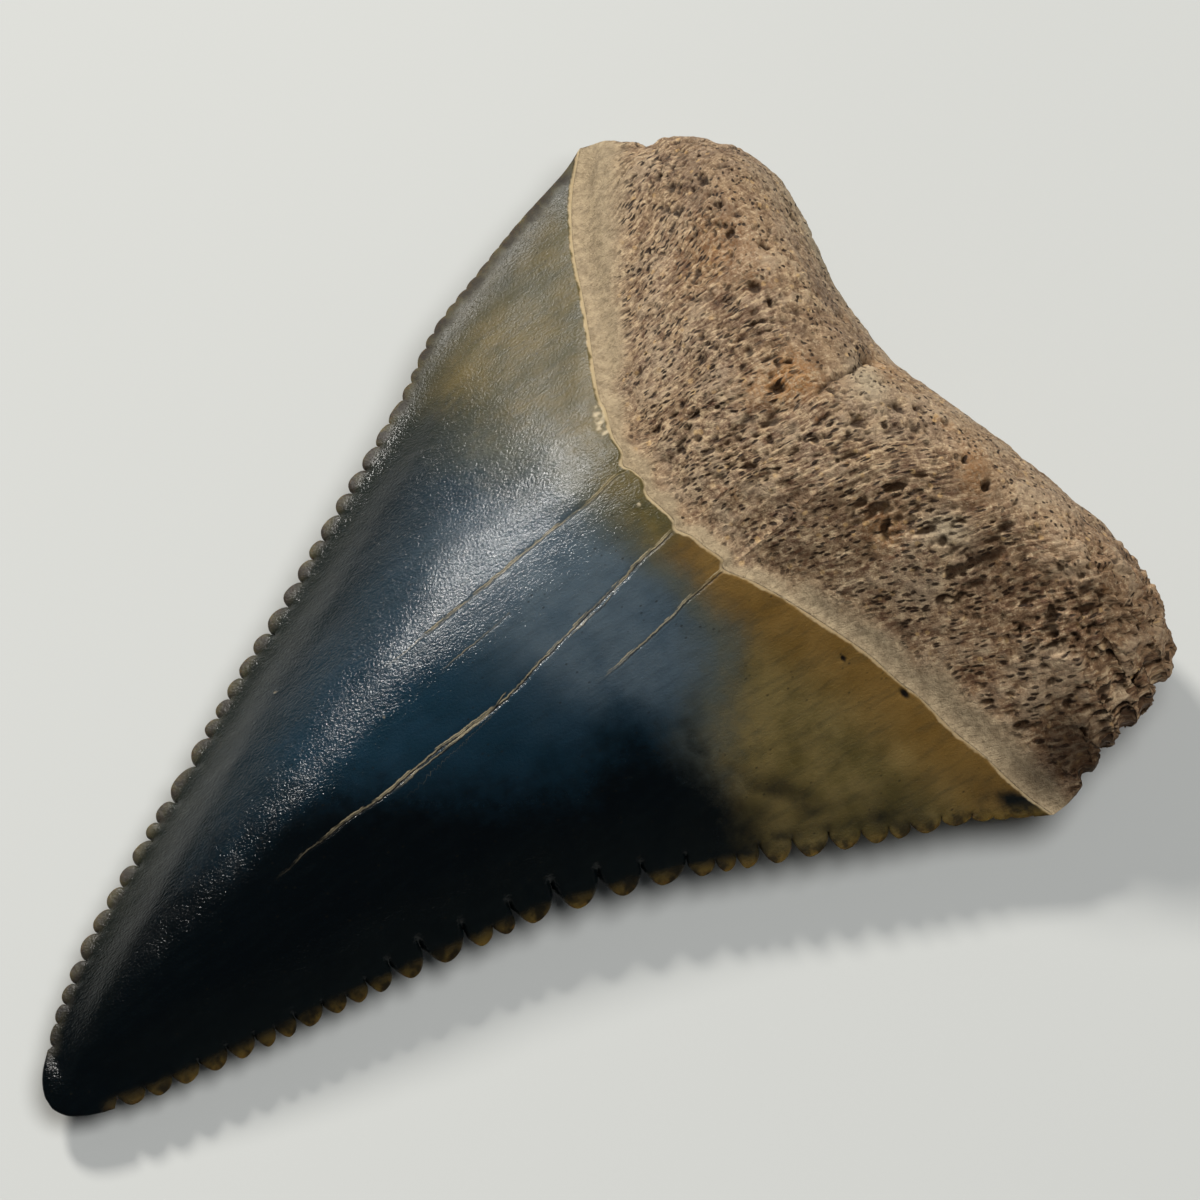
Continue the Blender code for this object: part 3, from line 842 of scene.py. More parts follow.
def root_relief(points, side, d, hidden):
    """How far each point of the root moves inwards, and what its colours need."""
    u, v, h = points.T
    plan = np.c_[u, v]
    line = np.where(side > 0, read(LINGUAL_GRID, plan), read(LABIAL_GRID, plan))
    close = (line < 0.6) & ~hidden
    for tree, mine in ((LINGUAL_TREE, side > 0), (LABIAL_TREE, side < 0)):
        k = close & mine
        line[k] = distance(tree, plan[k])
    line[hidden] = 0
    up = side > 0
    p = np.c_[u, v, h]
    # Fibres run from the enamel line over the root: b counts across them and a along.
    a = np.hypot(u + 8, v + 20)
    b = np.arctan2(u + 8, v + 20) * 58 + 0.25 * noise(p / 2.2, 20)
    fibre = np.c_[b, a, 1.2 * h]
    width = np.interp(u, (-16.6, -13, -9, -3, 3, 8, 13, 16.6), (1.7, 1.9, 1.3, 0.55, 0.5, 0.8, 1.1, 0.9))
    band = 1 - ramp(line + 0.25 * noise(p / 0.9, 21), 0.55 * width, 1.35 * width)
    away = ramp(line, 0.1, 1.2) * (1 - 0.75 * band)
    mesial, distal = 1 - ramp(u, -9.0, -4.0), ramp(u, 8.0, 12.5)
    reach = np.interp(u, (-16, -9, -3, 3, 9, 16), (2.6, 3.6, 5.6, 6.2, 5.4, 5.0))
    grained = ramp(line, 0.3, 1.4) * (1 - ramp(line + 0.8 * noise(p / 1.5, 22), reach, reach + 2.2))
    grained = np.where(up, grained, 0.5 * grained)
    porous = ramp(line + 0.7 * noise(p / 1.7, 23), 1.4, 3.2)

    waves = 0.5 + 0.5 * layered(p / 2.6, 3, 24)
    knobs = 0.5 + 0.5 * layered(p / 0.95, 3, 25)
    fine = 0.5 + 0.5 * layered(p / 0.28, 3, 26, 0.65)
    ridge = 1 - np.abs(layered(fibre / (0.26, 2.4, 1.0), 2, 27))
    thread = 1 - np.abs(noise(fibre / (0.2, 1.2, 0.8), 28))
    wobble = 0.1 * np.c_[noise(p / 0.35, 31), noise(p / 0.35, 32), noise(p / 0.35, 33)]
    fibre_w = fibre + wobble * (0.8, 2.5, 1.0)
    dash = pits(fibre_w / (0.27, 0.85, 0.6), 29, 0.8, 0.24, 0.58, 0.7)
    dash2 = pits(fibre_w / (0.46, 1.25, 0.9) + 7.3, 30, 0.6, 0.2, 0.52, 0.7)
    warped = p + 1.2 * wobble
    dots = pits(warped / 0.36, 34, 0.8, 0.24, 0.56, 0.7)
    pores = pits(warped / 0.62 + 3.1, 35, 0.62, 0.16, 0.48, 0.6)
    holes = pits(warped / 1.9 + 1.7, 36, 0.3, 0.08, 0.19, 0.6)

    depth = away * (0.22 * (1 - waves) + (0.12 + 0.24 * distal) * (1 - knobs) + 0.1 * (1 - fine))
    depth += away * grained * (0.08 * (1 - ridge) + 0.05 * (1 - thread))
    # The pores are crowded in some places and sparse in others.
    crowd = 0.55 + 0.75 * ramp(layered(p / 1.9, 2, 39), -0.35, 0.35)
    pit = grained * np.maximum(0.75 * dash, 0.95 * dash2)
    pit = np.maximum(pit, porous * (0.6 + 0.3 * mesial) * dots)
    pit = np.maximum(pit, porous * (0.75 + 0.3 * distal + 0.15 * mesial) * pores)
    pit = np.clip(pit * crowd, 0, 1)
    pit = np.maximum(pit, porous * 1.0 * holes)
    pit *= away
    depth += 0.2 * pit + 0.12 * pit * porous * holes + 0.12 * distal * porous * pores * away
    # The coarser, folded bone of the distal lobe.
    folded = np.abs(layered(fibre / (0.8, 1.9, 1.1), 3, 37, 0.6))
    depth += away * distal * 0.30 * (1 - ramp(folded, 0.0, 0.22)) * ramp(line, 1.5, 4)
    # A wandering fissure from the nutrient hole down the middle, and its hole.
    fissure = spline(((-0.75, 40.6), (-0.4, 38.9), (-0.1, 37.4), (-0.1, 35.9), (0.2, 33.8)))
    fissure[:, 0] += 0.12 * noise(np.c_[fissure / 0.6, 0 * fissure[:, 0]], 38)
    gap = np.full(len(u), 9.0)
    near = up & (np.abs(u) < 2.5)
    gap[near] = distance(tree_of(fissure), plan[near])
    fade = ramp(v, 33.4, 35.0) * ramp(-v, -41.0, -40.2) * ramp(noise(p / 0.8, 41), -0.5, 0.3)
    furrow = np.exp(-((gap / (0.1 + 0.05 * noise(p / 0.5, 42))) ** 2)) * fade * up
    depth += 0.12 * furrow + 0.16 * np.exp(-((gap / 0.55) ** 2)) * ramp(v, 33.4, 36.0) * up
    pit = np.maximum(pit, 0.6 * furrow)
    marks = (
        ((-0.6, 40.2), (0.36, 0.22, 20), 0.5), ((-6.5, 39.1), (0.26, 0.18, 40), 0.35),
        ((5.8, 36.3), (0.38, 0.16, -35), 0.36), ((8.8, 36.8), (0.24, 0.13, 70), 0.3),
        ((9.1, 37.4), (0.5, 0.12, 62), 0.3), ((5.1, 40.3), (0.22, 0.16, -30), 0.3),
        ((6.4, 40.5), (0.34, 0.15, -50), 0.35), ((12.0, 41.9), (0.3, 0.18, 60), 0.32),
        ((-0.9, 35.8), (0.3, 0.12, 80), 0.22), ((-1.6, 36.9), (0.2, 0.13, 30), 0.25),
        ((-4.3, 37.8), (0.2, 0.14, 10), 0.25), ((-9.2, 38.6), (0.22, 0.15, 60), 0.25),
    )
    for place, size, deep in marks:
        jag = 0.12 * np.c_[noise(p / 0.25, 43), noise(p / 0.25, 44)]
        bump = spot(u + jag[:, 0], v + jag[:, 1], place, size, 2.6) * up
        depth += deep * bump
        pit = np.maximum(pit, bump)
    labial = ~up & ~hidden
    depth = np.where(labial, 0.75 * depth, depth)
    depth += 0.05 * smooth(line / 0.12) * (1 - ramp(line, 0.3, 1.6))
    depth *= np.where(hidden, 0, smooth(line / 0.25))
    ends = ramp(16.5 - np.abs(u), 0.0, 0.8)
    depth *= 0.25 + 0.75 * ends
    raised = away * (waves - 0.5 + 1.2 * (knobs - 0.5) + 0.8 * (fine - 0.5))
    return -depth, {
        "edge": np.minimum(d, 6.0),
        "rim": np.minimum(line, 8.0),
        "band": np.where(hidden, 1, band),
        "pit": np.clip(pit, 0, 1),
        "raised": np.clip(0.5 + raised, 0, 1),
        "grained": grained,
    }, fibre


def finished(base, relief):
    """Moves the points along their normals by the relief, and keeps them in the tooth's own box."""
    points, faces, side, d, hidden = base[:5]
    move, *rest = relief(points, side, d, hidden)
    out = points + normals_of(points, faces) * move[:, None]
    out[:, 0] = np.clip(out[:, 0], -16.595, 16.595)
    out[:, 1] = np.clip(out[:, 1], CENTRE_V - 22.765, CENTRE_V + 22.765)
    out[:, 2] = np.clip(out[:, 2], 0.0, 9.62)
    return out, rest


# ---------------------------------------------------------------- the meshes
def make_piece(name, base, relief, extra):
    points, faces, side, d, hidden, kinds, places = base
    out, rest = finished(base, relief)
    values = rest[0]
    mesh = bpy.data.meshes.new(name)
    mesh.vertices.add(len(out))
    real = (out - (CENTRE_U, CENTRE_V, 0)) / 1000
    mesh.vertices.foreach_set("co", real.astype(np.float32).ravel())
    mesh.loops.add(len(faces) * 3)
    mesh.loops.foreach_set("vertex_index", faces.astype(np.int32).ravel())
    mesh.polygons.add(len(faces))
    mesh.polygons.foreach_set("loop_start", np.arange(0, 3 * len(faces), 3, dtype=np.int32))
    mesh.update(calc_edges=True)
    flat = np.array(places)[np.repeat(kinds, 3), faces.ravel()]
    mesh.uv_layers.new(name="OFBake").data.foreach_set("uv", flat.astype(np.float32).ravel())
    mesh.validate()
    mesh.shade_smooth()
    for key, value in {**values, **extra(points, side, d, hidden, values)}.items():
        layer = mesh.attributes.new(key, "FLOAT", "POINT")
        layer.data.foreach_set("value", np.asarray(value, np.float32))
    for key, value in (("mm", points), *((("fibre", rest[1]),) if len(rest) > 1 else ())):
        layer = mesh.attributes.new(key, "FLOAT_VECTOR", "POINT")
        layer.data.foreach_set("vector", value.astype(np.float32).ravel())
    piece = bpy.data.objects.new(name, mesh)
    bpy.context.scene.collection.objects.link(piece)
    return piece, rest


def enamel_zones(points, side, d, hidden, values):
    """Where the enamel is olive, slate or nearly black. Each zone has a soft, wandering edge."""
    u, v, h = points.T
    p = np.c_[u, v, h + 20 * (side < 0)]
    s = u + 1.1 * layered(p / 4.2, 3, 50) + 0.28 * layered(p / 0.8, 2, 51)
    t = v + 1.1 * layered(p / 4.2, 3, 52) + 0.28 * layered(p / 0.8, 2, 53)
    # Olive near the root: from the mesial shoulder down to its edge, and over the distal half.
    mesial = ramp(0.42 * (-s - 5.6) + 0.9 * (t - 26.8) + 0.25 * np.maximum(-s - 9, 0), -4.0, 5.0)
    line = values["rim"]
    apex = (1 - ramp(line, 0.2, 2.6)) * 0.8
    distal = ramp(0.6 * (s - 5.6) + 0.75 * (t - 28.8), -2.8, 3.2) * ramp(s, 0.5, 7.5)
    warm = np.clip(1 - (1 - mesial) * (1 - distal) * (1 - apex), 0, 1)
    # The distal flank and the tip are the darkest.
    across_dark = ramp(s - np.interp(t, (0, 8, 13, 17, 22, 27, 33), (1.6, 2.2, 3.4, 5.0, 6.9, 8.8, 14.6)), -3.6, 2.0)
    dark = across_dark * (1 - ramp(t, 24.5, 29.5))
    tip = 1 - ramp(t, 4.0, 14.0)
    dark = np.maximum(dark, 0.85 * tip)
    seam = spot(s, t, (8.4, 26.6), (1.9, 1.0, -10)) + spot(s, t, (10.9, 28.3), (2.0, 0.7, 35))
    seam += spot(s, t, (13.6, 32.2), (3.2, 0.62, 66)) + 1.2 * spot(u, v, (16.1, 36.3), (1.0, 0.5, 60))
    w, half = across(u, v)
    seam = np.maximum(0.55 * seam, 0.4 * (1 - ramp((1 - w) * half, 0.6, 3.4)) * ramp(v, 24.0, 29.0))
    # A dark line runs along the roots of the distal serrations to the shoulder.
    root_line = np.exp(-(((values["fringe"] - 0.9) / 0.42) ** 2)) * ramp(v, 24.0, 27.0) * ramp(-v, -34.5, -31.0) * (w > 0)
    cloudy = 0.5 + 0.5 * layered(p / 0.9, 3, 54)
    dark = np.maximum(dark, seam * ramp(cloudy, 0.05, 0.65))
    dark = np.maximum(dark, root_line * (0.25 + 0.5 * cloudy))
    dark = np.clip(np.maximum(dark, 1.3 * spot(u, v, (16.1, 36.35), (1.5, 0.42, 34))), 0, 1)
    slate = spot(s, t, (-0.2, 25.6), (5.6, 3.6, 70)) + 0.9 * spot(s, t, (4.8, 26.4), (3.4, 2.6, 60))
    slate += 0.12 * spot(s, t, (-2.4, 14.5), (6.0, 1.7, 118))
    slate = np.clip(slate, 0, 1) * (1 - dark)
    back = side < 0
    flip = np.clip(ramp(0.5 * (np.abs(s) - 7.5) + 0.8 * (t - 29.0), -2.2, 3.0), 0, 1)
    warm = np.where(back, np.maximum(flip, 0.6 * apex), warm)
    dark = np.where(back, np.maximum(0.7 * tip, 0.8 * ramp(layered(p / 5.0, 3, 55), 0.1, 0.5) * (1 - flip)), dark)
    slate = np.where(back, spot(s, t, (0.5, 23.0), (9.0, 5.0, 90)), slate)
    return {
        "warm": warm,
        "dark": dark,
        "slate": slate,
        "distal": ramp(u - np.interp(v, (0, 37), (6, 0)), -1, 2),
        # painted shade: 1 over the mesial flank, where the colour is darkened to stand in for shade
        "flank": 1 - ramp((1 + w) * half + 0.6 * layered(p / 2.4, 2, 56), 1.8, 6.0),
        "far": np.minimum(v, 12.0),
    }


def root_zones(points, side, d, hidden, values):
    u, v, h = points.T
    return {
        "lobe": ramp(u, 6.5, 12.0),
        # painted shade: the root's distal corner is darkened where a shadow falls on it
        "dusk": np.clip(spot(u, v, (15.6, 38.4), (2.0, 1.1, 70), 3) + 0.6 * spot(u, v, (14.2, 38.6), (1.2, 0.7, 60)), 0, 1),
        "ochre": np.clip(
            spot(u, v, (-0.9, 35.9), (1.3, 0.7, 70))
            + 0.8 * spot(u, v, (-1.2, 37.0), (1.0, 0.8, 0))
            + 0.6 * spot(u, v, (-0.2, 40.4), (0.8, 0.6, 0))
            + 0.6 * spot(u, v, (5.8, 36.3), (0.9, 0.7, 0))
            + 0.6 * spot(u, v, (5.6, 40.4), (1.3, 0.6, -30))
            + 0.5 * spot(u, v, (-7.5, 37.5), (2.0, 1.6, 0)),
            0,
            1,
        )
        * (side > 0),
        "pale": np.clip(
            spot(u, v, (0.5, 39.1), (1.3, 0.7, -20))
            + spot(u, v, (7.1, 38.1), (0.9, 0.6, 40))
            + spot(u, v, (-6.5, 42.0), (3.2, 0.5, -8)),
            0,
            1,
        )
        * (side > 0),
    }


crown_piece, _ = make_piece("tooth_crown", crown, enamel_relief, enamel_zones)
root_piece, _ = make_piece("tooth_root", root, root_relief, root_zones)


# ---------------------------------------------------------------- materials
def srgb(*rgb):
    """A colour given from 0 to 255 as it looks, as the shader wants it."""
    c = [x / 255 for x in rgb]
    return (*[x / 12.92 if x <= 0.04045 else ((x + 0.055) / 1.055) ** 2.4 for x in c], 1.0)


class Shader:
    """A material's nodes, made one by one."""

    def __init__(self, name):
        self.material = bpy.data.materials.new(name)
        self.material.use_nodes = True
        self.tree = self.material.node_tree
        self.tree.nodes.clear()

    def add(self, kind, inputs=None, **settings):
        made = self.tree.nodes.new(kind)
        for key, value in settings.items():
            setattr(made, key, value)
        for key, value in (inputs or {}).items():
            if isinstance(value, bpy.types.NodeSocket):
                self.tree.links.new(value, made.inputs[key])
            else:
                made.inputs[key].default_value = value
        return made

    def value(self, name):
        return self.add("ShaderNodeAttribute", attribute_name=name).outputs["Fac"]

    def place(self, name="mm"):
        return self.add("ShaderNodeAttribute", attribute_name=name).outputs["Vector"]

    def stretched(self, vector, scale, shift=(0, 0, 0), turn=0.0):
        return self.add(
            "ShaderNodeMapping",
            {"Vector": vector, "Scale": scale, "Location": shift, "Rotation": (0, 0, turn)},
        ).outputs["Vector"]

    def noise(self, vector, scale, detail=3.0, rough=0.55, distort=0.0):
        return self.add(
            "ShaderNodeTexNoise",
            {"Vector": vector, "Scale": scale, "Detail": detail, "Roughness": rough, "Distortion": distort},
        ).outputs["Fac"]

    def noise_shifted(self, vector, scale, reach):
        """The place moved a little by noise, so that patterns aren't too regular."""
        shift = self.add("ShaderNodeTexNoise", {"Vector": vector, "Scale": scale, "Detail": 1.0}).outputs["Color"]
        shift = self.add("ShaderNodeVectorMath", {0: shift, 1: (0.5, 0.5, 0.5)}, operation="SUBTRACT").outputs[0]
        return self.add(
            "ShaderNodeVectorMath", {0: shift, 1: (2 * reach,) * 3, 2: vector}, operation="MULTIPLY_ADD"
        ).outputs[0]

    def cells(self, vector, scale, output="Distance", feature="F1", spread=1.0):
        return self.add(
            "ShaderNodeTexVoronoi",
            {"Vector": vector, "Scale": scale, "Randomness": spread},
            feature=feature,
        ).outputs[output]

    def sum(self, kind, a, b=0.5, c=0.5, clamp=False):
        return self.add("ShaderNodeMath", {0: a, 1: b, 2: c}, operation=kind, use_clamp=clamp).outputs[0]

    def range(self, value, low, high, to_low=0.0, to_high=1.0):
        return self.add(
            "ShaderNodeMapRange",
            {"Value": value, "From Min": low, "From Max": high, "To Min": to_low, "To Max": to_high},
            interpolation_type="SMOOTHSTEP",
        ).outputs["Result"]

    def mix(self, share, a, b, kind="MIX"):
        made = self.add("ShaderNodeMix", {0: share}, data_type="RGBA", blend_type=kind, clamp_factor=True)
        for slot, value in ((6, a), (7, b)):
            if isinstance(value, bpy.types.NodeSocket):
                self.tree.links.new(value, made.inputs[slot])
            else:
                made.inputs[slot].default_value = value
        return made.outputs[2]

    def bump(self, height, distance, strength=1.0, normal=None):
        inputs = {"Height": height, "Distance": distance, "Strength": strength}
        if normal is not None:
            inputs["Normal"] = normal
        return self.add("ShaderNodeBump", inputs).outputs["Normal"]

    def finish(self, inputs):
        surface = self.add("ShaderNodeBsdfPrincipled", inputs)
        out = self.add("ShaderNodeOutputMaterial")
        self.tree.links.new(surface.outputs[0], out.inputs[0])
        return self.material


def enamel():
    s = Shader("enamel")
    at = s.place()
    warm, dark, slate = s.value("warm"), s.value("dark"), s.value("slate")
    edge, rim = s.value("edge"), s.value("rim")
    chip, hole, flank = s.value("chip"), s.value("hole"), s.value("flank")
    cloud = s.noise(at, 0.55, 5.0, 0.6)
    mottle = s.noise(at, 2.2, 4.0, 0.65)
    streak = s.noise(s.stretched(at, (3.6, 0.55, 2.0), turn=0.25), 1.0, 4.0, 0.6)

    blue = s.mix(s.range(slate, 0.05, 0.95), srgb(14, 35, 46), srgb(66, 77, 84))
    blue = s.mix(s.range(cloud, 0.35, 0.7, 0.0, 0.4), blue, srgb(22, 44, 58))
    # Painted shade: the blue darkens over the mesial flank, standing in for the shade there.
    blue = s.mix(s.sum("MULTIPLY", flank, 0.9), blue, srgb(12, 19, 21))
    olive = s.mix(s.range(cloud, 0.3, 0.7), srgb(60, 56, 32), srgb(86, 74, 40))
    honey = s.mix(s.range(cloud, 0.3, 0.7), srgb(70, 60, 30), srgb(98, 84, 50))
    honey = s.mix(s.range(rim, 3.2, 0.3, 0.0, 0.6), honey, srgb(106, 74, 28))
    olive = s.mix(s.range(s.value("distal"), 0.1, 0.8, 0.0, 0.92), olive, honey)
    olive = s.mix(s.range(streak, 0.5, 0.75, 0.0, 0.2), olive, srgb(58, 54, 34))
    # Between the blue and the olive lies a greyish tone, darker over the mesial flank as painted shade.
    between = s.mix(flank, srgb(66, 68, 60), srgb(34, 37, 31))
    share = s.sum("MULTIPLY_ADD", s.sum("SUBTRACT", mottle, 0.5), 0.28, warm)
    colour = s.mix(s.range(share, 0.03, 0.55), blue, between)
    colour = s.mix(s.range(share, 0.4, 0.95), colour, olive)
    shade = s.sum("MULTIPLY_ADD", s.sum("SUBTRACT", mottle, 0.5), 0.45, dark)
    colour = s.mix(s.range(shade, 0.05, 0.85, 0.0, 0.99), colour, srgb(1, 4, 6))
    # Long faint streaks and dark specks in the enamel.
    colour = s.mix(s.range(streak, 0.42, 0.75, 0.0, 0.22), colour, srgb(10, 16, 18))
    speck = s.cells(s.stretched(at, (3.4, 2.3, 3.0)), 1.0)
    specks = s.sum("MULTIPLY", s.range(speck, 0.19, 0.06), s.range(s.noise(at, 0.8, 2.0), 0.44, 0.6))
    colour = s.mix(s.sum("MULTIPLY", specks, 0.6), colour, srgb(20, 18, 12))
    # Thin enamel by the cutting edges is brown and lets light through.
    thin = s.range(edge, 2.2, 0.2)
    thin = s.sum("MULTIPLY", thin, s.range(mottle, 0.2, 0.6, 0.6, 1.0))
    thin = s.sum("MULTIPLY", thin, s.range(s.value("far"), 1.0, 7.0))
    thin = s.sum("MULTIPLY", thin, s.sum("MULTIPLY_ADD", s.value("distal"), -0.85, 1.0))
    colour = s.mix(s.sum("MULTIPLY", thin, 0.75), colour, srgb(29, 32, 26))
    fleck = s.noise(at, 1.5, 3.0, 0.6)
    lobe = s.range(s.sum("MULTIPLY_ADD", s.sum("SUBTRACT", fleck, 0.5), 0.6, s.value("fringe")), 0.66, 0.12)
    amber = s.mix(s.range(fleck, 0.4, 0.64), srgb(42, 36, 29), srgb(68, 62, 40))
    deep = s.mix(s.range(fleck, 0.36, 0.62), srgb(24, 19, 8), srgb(76, 61, 26))
    amber = s.mix(s.range(s.value("distal"), 0.2, 0.8), amber, deep)
    colour = s.mix(s.sum("MULTIPLY", lobe, s.range(s.value("far"), 0.0, 5.0, 0.15, 0.85)), colour, amber)
    # The lip where the enamel ends is worn pale.
    ragged = s.sum("MULTIPLY_ADD", s.sum("SUBTRACT", s.noise(at, 1.3, 4.0, 0.6), 0.5), 0.32, rim)
    worn = s.sum("MULTIPLY", s.range(ragged, 0.13, 0.04), s.sum("MULTIPLY_ADD", s.value("distal"), -0.3, 0.85))
    colour = s.mix(worn, colour, srgb(176, 156, 122))
    # The cracks: a dark line with one or two thin pale ones beside it. The pale lines are partly the crack's pale
    # lip and partly a painted glint along its edge.
    jag = s.sum("MULTIPLY", s.sum("SUBTRACT", s.noise(at, 4.5, 4.0, 0.65), 0.5), 0.11)
    first, second = s.noise(at, 1.2, 3.0, 0.6), s.noise(s.stretched(at, (1, 1, 1), (9, 4, 2)), 0.8, 3.0, 0.6)
    crack = 0.0
    for name, wide in (("crack", 1.0), ("hair", 0.7)):
        x, on = s.sum("ADD", s.value(name), jag), s.value(name + "_on")
        split = s.range(s.sum("ABSOLUTE", x), 0.045 * wide, 0.012)
        pale = s.range(s.sum("ABSOLUTE", s.sum("ADD", x, 0.055 * wide)), 0.036 * wide, 0.01)
        pale = s.sum("MULTIPLY", pale, s.range(first, 0.36, 0.58, 0.15, 0.9))
        # The second, outer pale line is a painted glint along the crack's raised edge.
        pale_glint_line = s.range(s.sum("ABSOLUTE", s.sum("ADD", x, 0.11 * wide)), 0.03 * wide, 0.008)
        pale = s.sum("MAXIMUM", pale, s.sum("MULTIPLY", pale_glint_line, s.range(second, 0.47, 0.58)))
        colour = s.mix(s.sum("MULTIPLY", s.sum("MULTIPLY", split, on), 0.85), colour, srgb(16, 14, 11))
        pale = s.sum("MULTIPLY", pale, on)
        colour = s.mix(s.sum("MULTIPLY", pale, 0.85), colour, srgb(158, 144, 114))
        crack = s.sum("MAXIMUM", crack, s.sum("MULTIPLY", s.sum("MAXIMUM", split, pale), on))
    colour = s.mix(s.sum("MULTIPLY", s.range(chip, 0.25, 0.7), 0.85), colour, srgb(184, 168, 138))
    colour = s.mix(s.range(hole, 0.25, 0.7), colour, srgb(14, 11, 8))

    rough = s.range(s.noise(at, 1.1, 4.0, 0.6), 0.3, 0.7, 0.15, 0.21)
    rough = s.sum("ADD", rough, s.sum("MULTIPLY", s.sum("ADD", chip, crack), 0.3), clamp=True)
    rough = s.sum("MULTIPLY_ADD", s.range(warm, 0.3, 1.0), 0.18, rough, clamp=True)
    rough = s.sum("MULTIPLY_ADD", lobe, 0.3, rough, clamp=True)
    # The enamel glitters: its surface is finely grained, a little longer towards the tip.
    normal = s.bump(s.noise(s.stretched(at, (13.0, 8.5, 11.0)), 1.0, 2.0, 0.6), 0.00003, 0.85)
    normal = s.bump(s.noise(s.stretched(at, (4.5, 2.4, 3.5)), 1.0, 2.0, 0.5), 0.00002, 0.6, normal)
    normal = s.bump(s.noise(s.stretched(at, (2.4, 0.3, 1.0), turn=0.2), 1.0, 3.0), 0.00002, 0.5, normal)
    return s.finish(
        {
            "Base Color": colour,
            "Roughness": rough,
            "Normal": normal,
            "IOR": 1.5,
            "Specular IOR Level": 0.22,
            "Subsurface Weight": 0.12,
            "Subsurface Radius": (1.0, 0.6, 0.35),
            "Subsurface Scale": 0.0006,
        }
    )


def bone():
    s = Shader("root")
    at = s.place()
    band, pit, raised = s.value("band"), s.value("pit"), s.value("raised")
    grained, lobe, ochre, pale = s.value("grained"), s.value("lobe"), s.value("ochre"), s.value("pale")
    rim, edge = s.value("rim"), s.value("edge")
    cloud = s.noise(at, 0.5, 5.0, 0.6)
    mottle = s.noise(at, 2.6, 4.0, 0.65)
    fine = s.noise(at, 6.5, 4.0, 0.7)
    tiny = s.noise(at, 20.0, 2.0, 0.6)
    grain = s.place("fibre")
    strand = s.noise(s.stretched(grain, (7.5, 1.2, 4.0)), 1.0, 4.0, 0.62)
    # Small pores, round on the lobes and long where the fibres run.
    small = s.cells(s.noise_shifted(at, 3.0, 0.12), 3.9)
    long = s.cells(s.stretched(s.noise_shifted(grain, 2.0, 0.08), (6.4, 1.5, 4.0)), 1.0)
    hollow = s.sum("MULTIPLY", s.range(small, 0.36, 0.2), s.range(s.noise(at, 1.7, 2.0), 0.38, 0.56))
    slot = s.sum("MULTIPLY", s.range(long, 0.42, 0.24), s.range(s.noise(at, 1.3, 2.0), 0.34, 0.54))
    slot = s.sum("MULTIPLY", slot, grained)
    hollow = s.sum("MAXIMUM", s.sum("MULTIPLY", hollow, s.sum("SUBTRACT", 1.0, grained)), slot)
    hollow = s.sum("MULTIPLY", hollow, s.range(band, 0.9, 0.3))
    base = s.mix(s.range(mottle, 0.3, 0.7), srgb(114, 89, 66), srgb(164, 138, 106))
    base = s.mix(s.range(cloud, 0.42, 0.68, 0.0, 0.55), base, srgb(140, 120, 100))
    base = s.mix(s.sum("MULTIPLY", lobe, s.range(cloud, 0.25, 0.6, 0.4, 0.85)), base, srgb(132, 102, 74))
    base = s.mix(s.range(fine, 0.5, 0.7, 0.0, 0.75), base, srgb(74, 50, 38))
    base = s.mix(s.range(fine, 0.47, 0.3, 0.0, 0.75), base, srgb(204, 180, 144))
    threads = s.sum("MULTIPLY", s.range(strand, 0.5, 0.66), s.sum("MULTIPLY_ADD", grained, 0.78, 0.15))
    base = s.mix(threads, base, srgb(84, 58, 42))
    base = s.mix(s.sum("MULTIPLY", s.range(strand, 0.48, 0.34), s.sum("MULTIPLY_ADD", grained, 0.4, 0.3)), base, srgb(200, 174, 138))
    base = s.mix(s.range(raised, 0.5, 0.95, 0.0, 0.4), base, srgb(176, 156, 128))
    base = s.mix(s.range(raised, 0.45, 0.1, 0.0, 0.5), base, srgb(82, 60, 42))
    # Ochre grains sit in the pores, and thin rust stains lie round some of them.
    grains = s.sum("MULTIPLY", s.range(s.cells(at, 1.9), 0.26, 0.14), s.range(s.noise(at, 0.9, 2.0), 0.42, 0.58))
    grains = s.sum("MULTIPLY", grains, s.range(band, 0.8, 0.2))
    base = s.mix(s.sum("MULTIPLY", grains, 0.5), base, srgb(196, 160, 108))
    stain = s.sum("MAXIMUM", s.sum("MULTIPLY", ochre, 0.6), s.range(s.noise(at, 0.7, 3.0), 0.62, 0.76, 0.0, 0.3))
    base = s.mix(s.sum("MULTIPLY", stain, s.range(fine, 0.35, 0.6, 0.2, 1.0)), base, srgb(158, 108, 54))
    base = s.mix(s.sum("MULTIPLY", pale, 0.55), base, srgb(180, 166, 138))
    dental = s.mix(s.range(mottle, 0.35, 0.65), srgb(140, 124, 98), srgb(168, 150, 120))
    dental = s.mix(s.range(fine, 0.5, 0.7, 0.0, 0.35), dental, srgb(104, 88, 64))
    base = s.mix(s.sum("MULTIPLY", band, 0.85), base, dental)
    base = s.mix(s.sum("MULTIPLY", hollow, 0.95), base, srgb(38, 25, 16))
    # Painted shade: the root's distal corner is darkened where a shadow falls on it.
    base = s.mix(s.sum("MULTIPLY", s.value("dusk"), 0.85), base, srgb(34, 20, 10))
    base = s.mix(s.range(pit, 0.15, 0.7, 0.0, 0.9), base, s.mix(mottle, srgb(20, 13, 8), srgb(58, 38, 22)))
    rough = s.range(fine, 0.3, 0.7, 0.6, 0.88)
    normal = s.bump(s.sum("MULTIPLY", hollow, -1.0), 0.00009, 0.9)
    normal = s.bump(fine, 0.00014, 0.85, normal)
    normal = s.bump(strand, 0.00012, 0.7, normal)
    normal = s.bump(tiny, 0.00003, 0.8, normal)
    return s.finish(
        {
            "Base Color": base,
            "Roughness": rough,
            "Normal": normal,
            "IOR": 1.5,
            "Specular IOR Level": 0.35,
        }
    )


crown_piece.data.materials.append(enamel())
root_piece.data.materials.append(bone())
for piece, slot in ((crown_piece, "enamel"), (root_piece, "root")):
    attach(piece, "root")
    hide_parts("tooth")


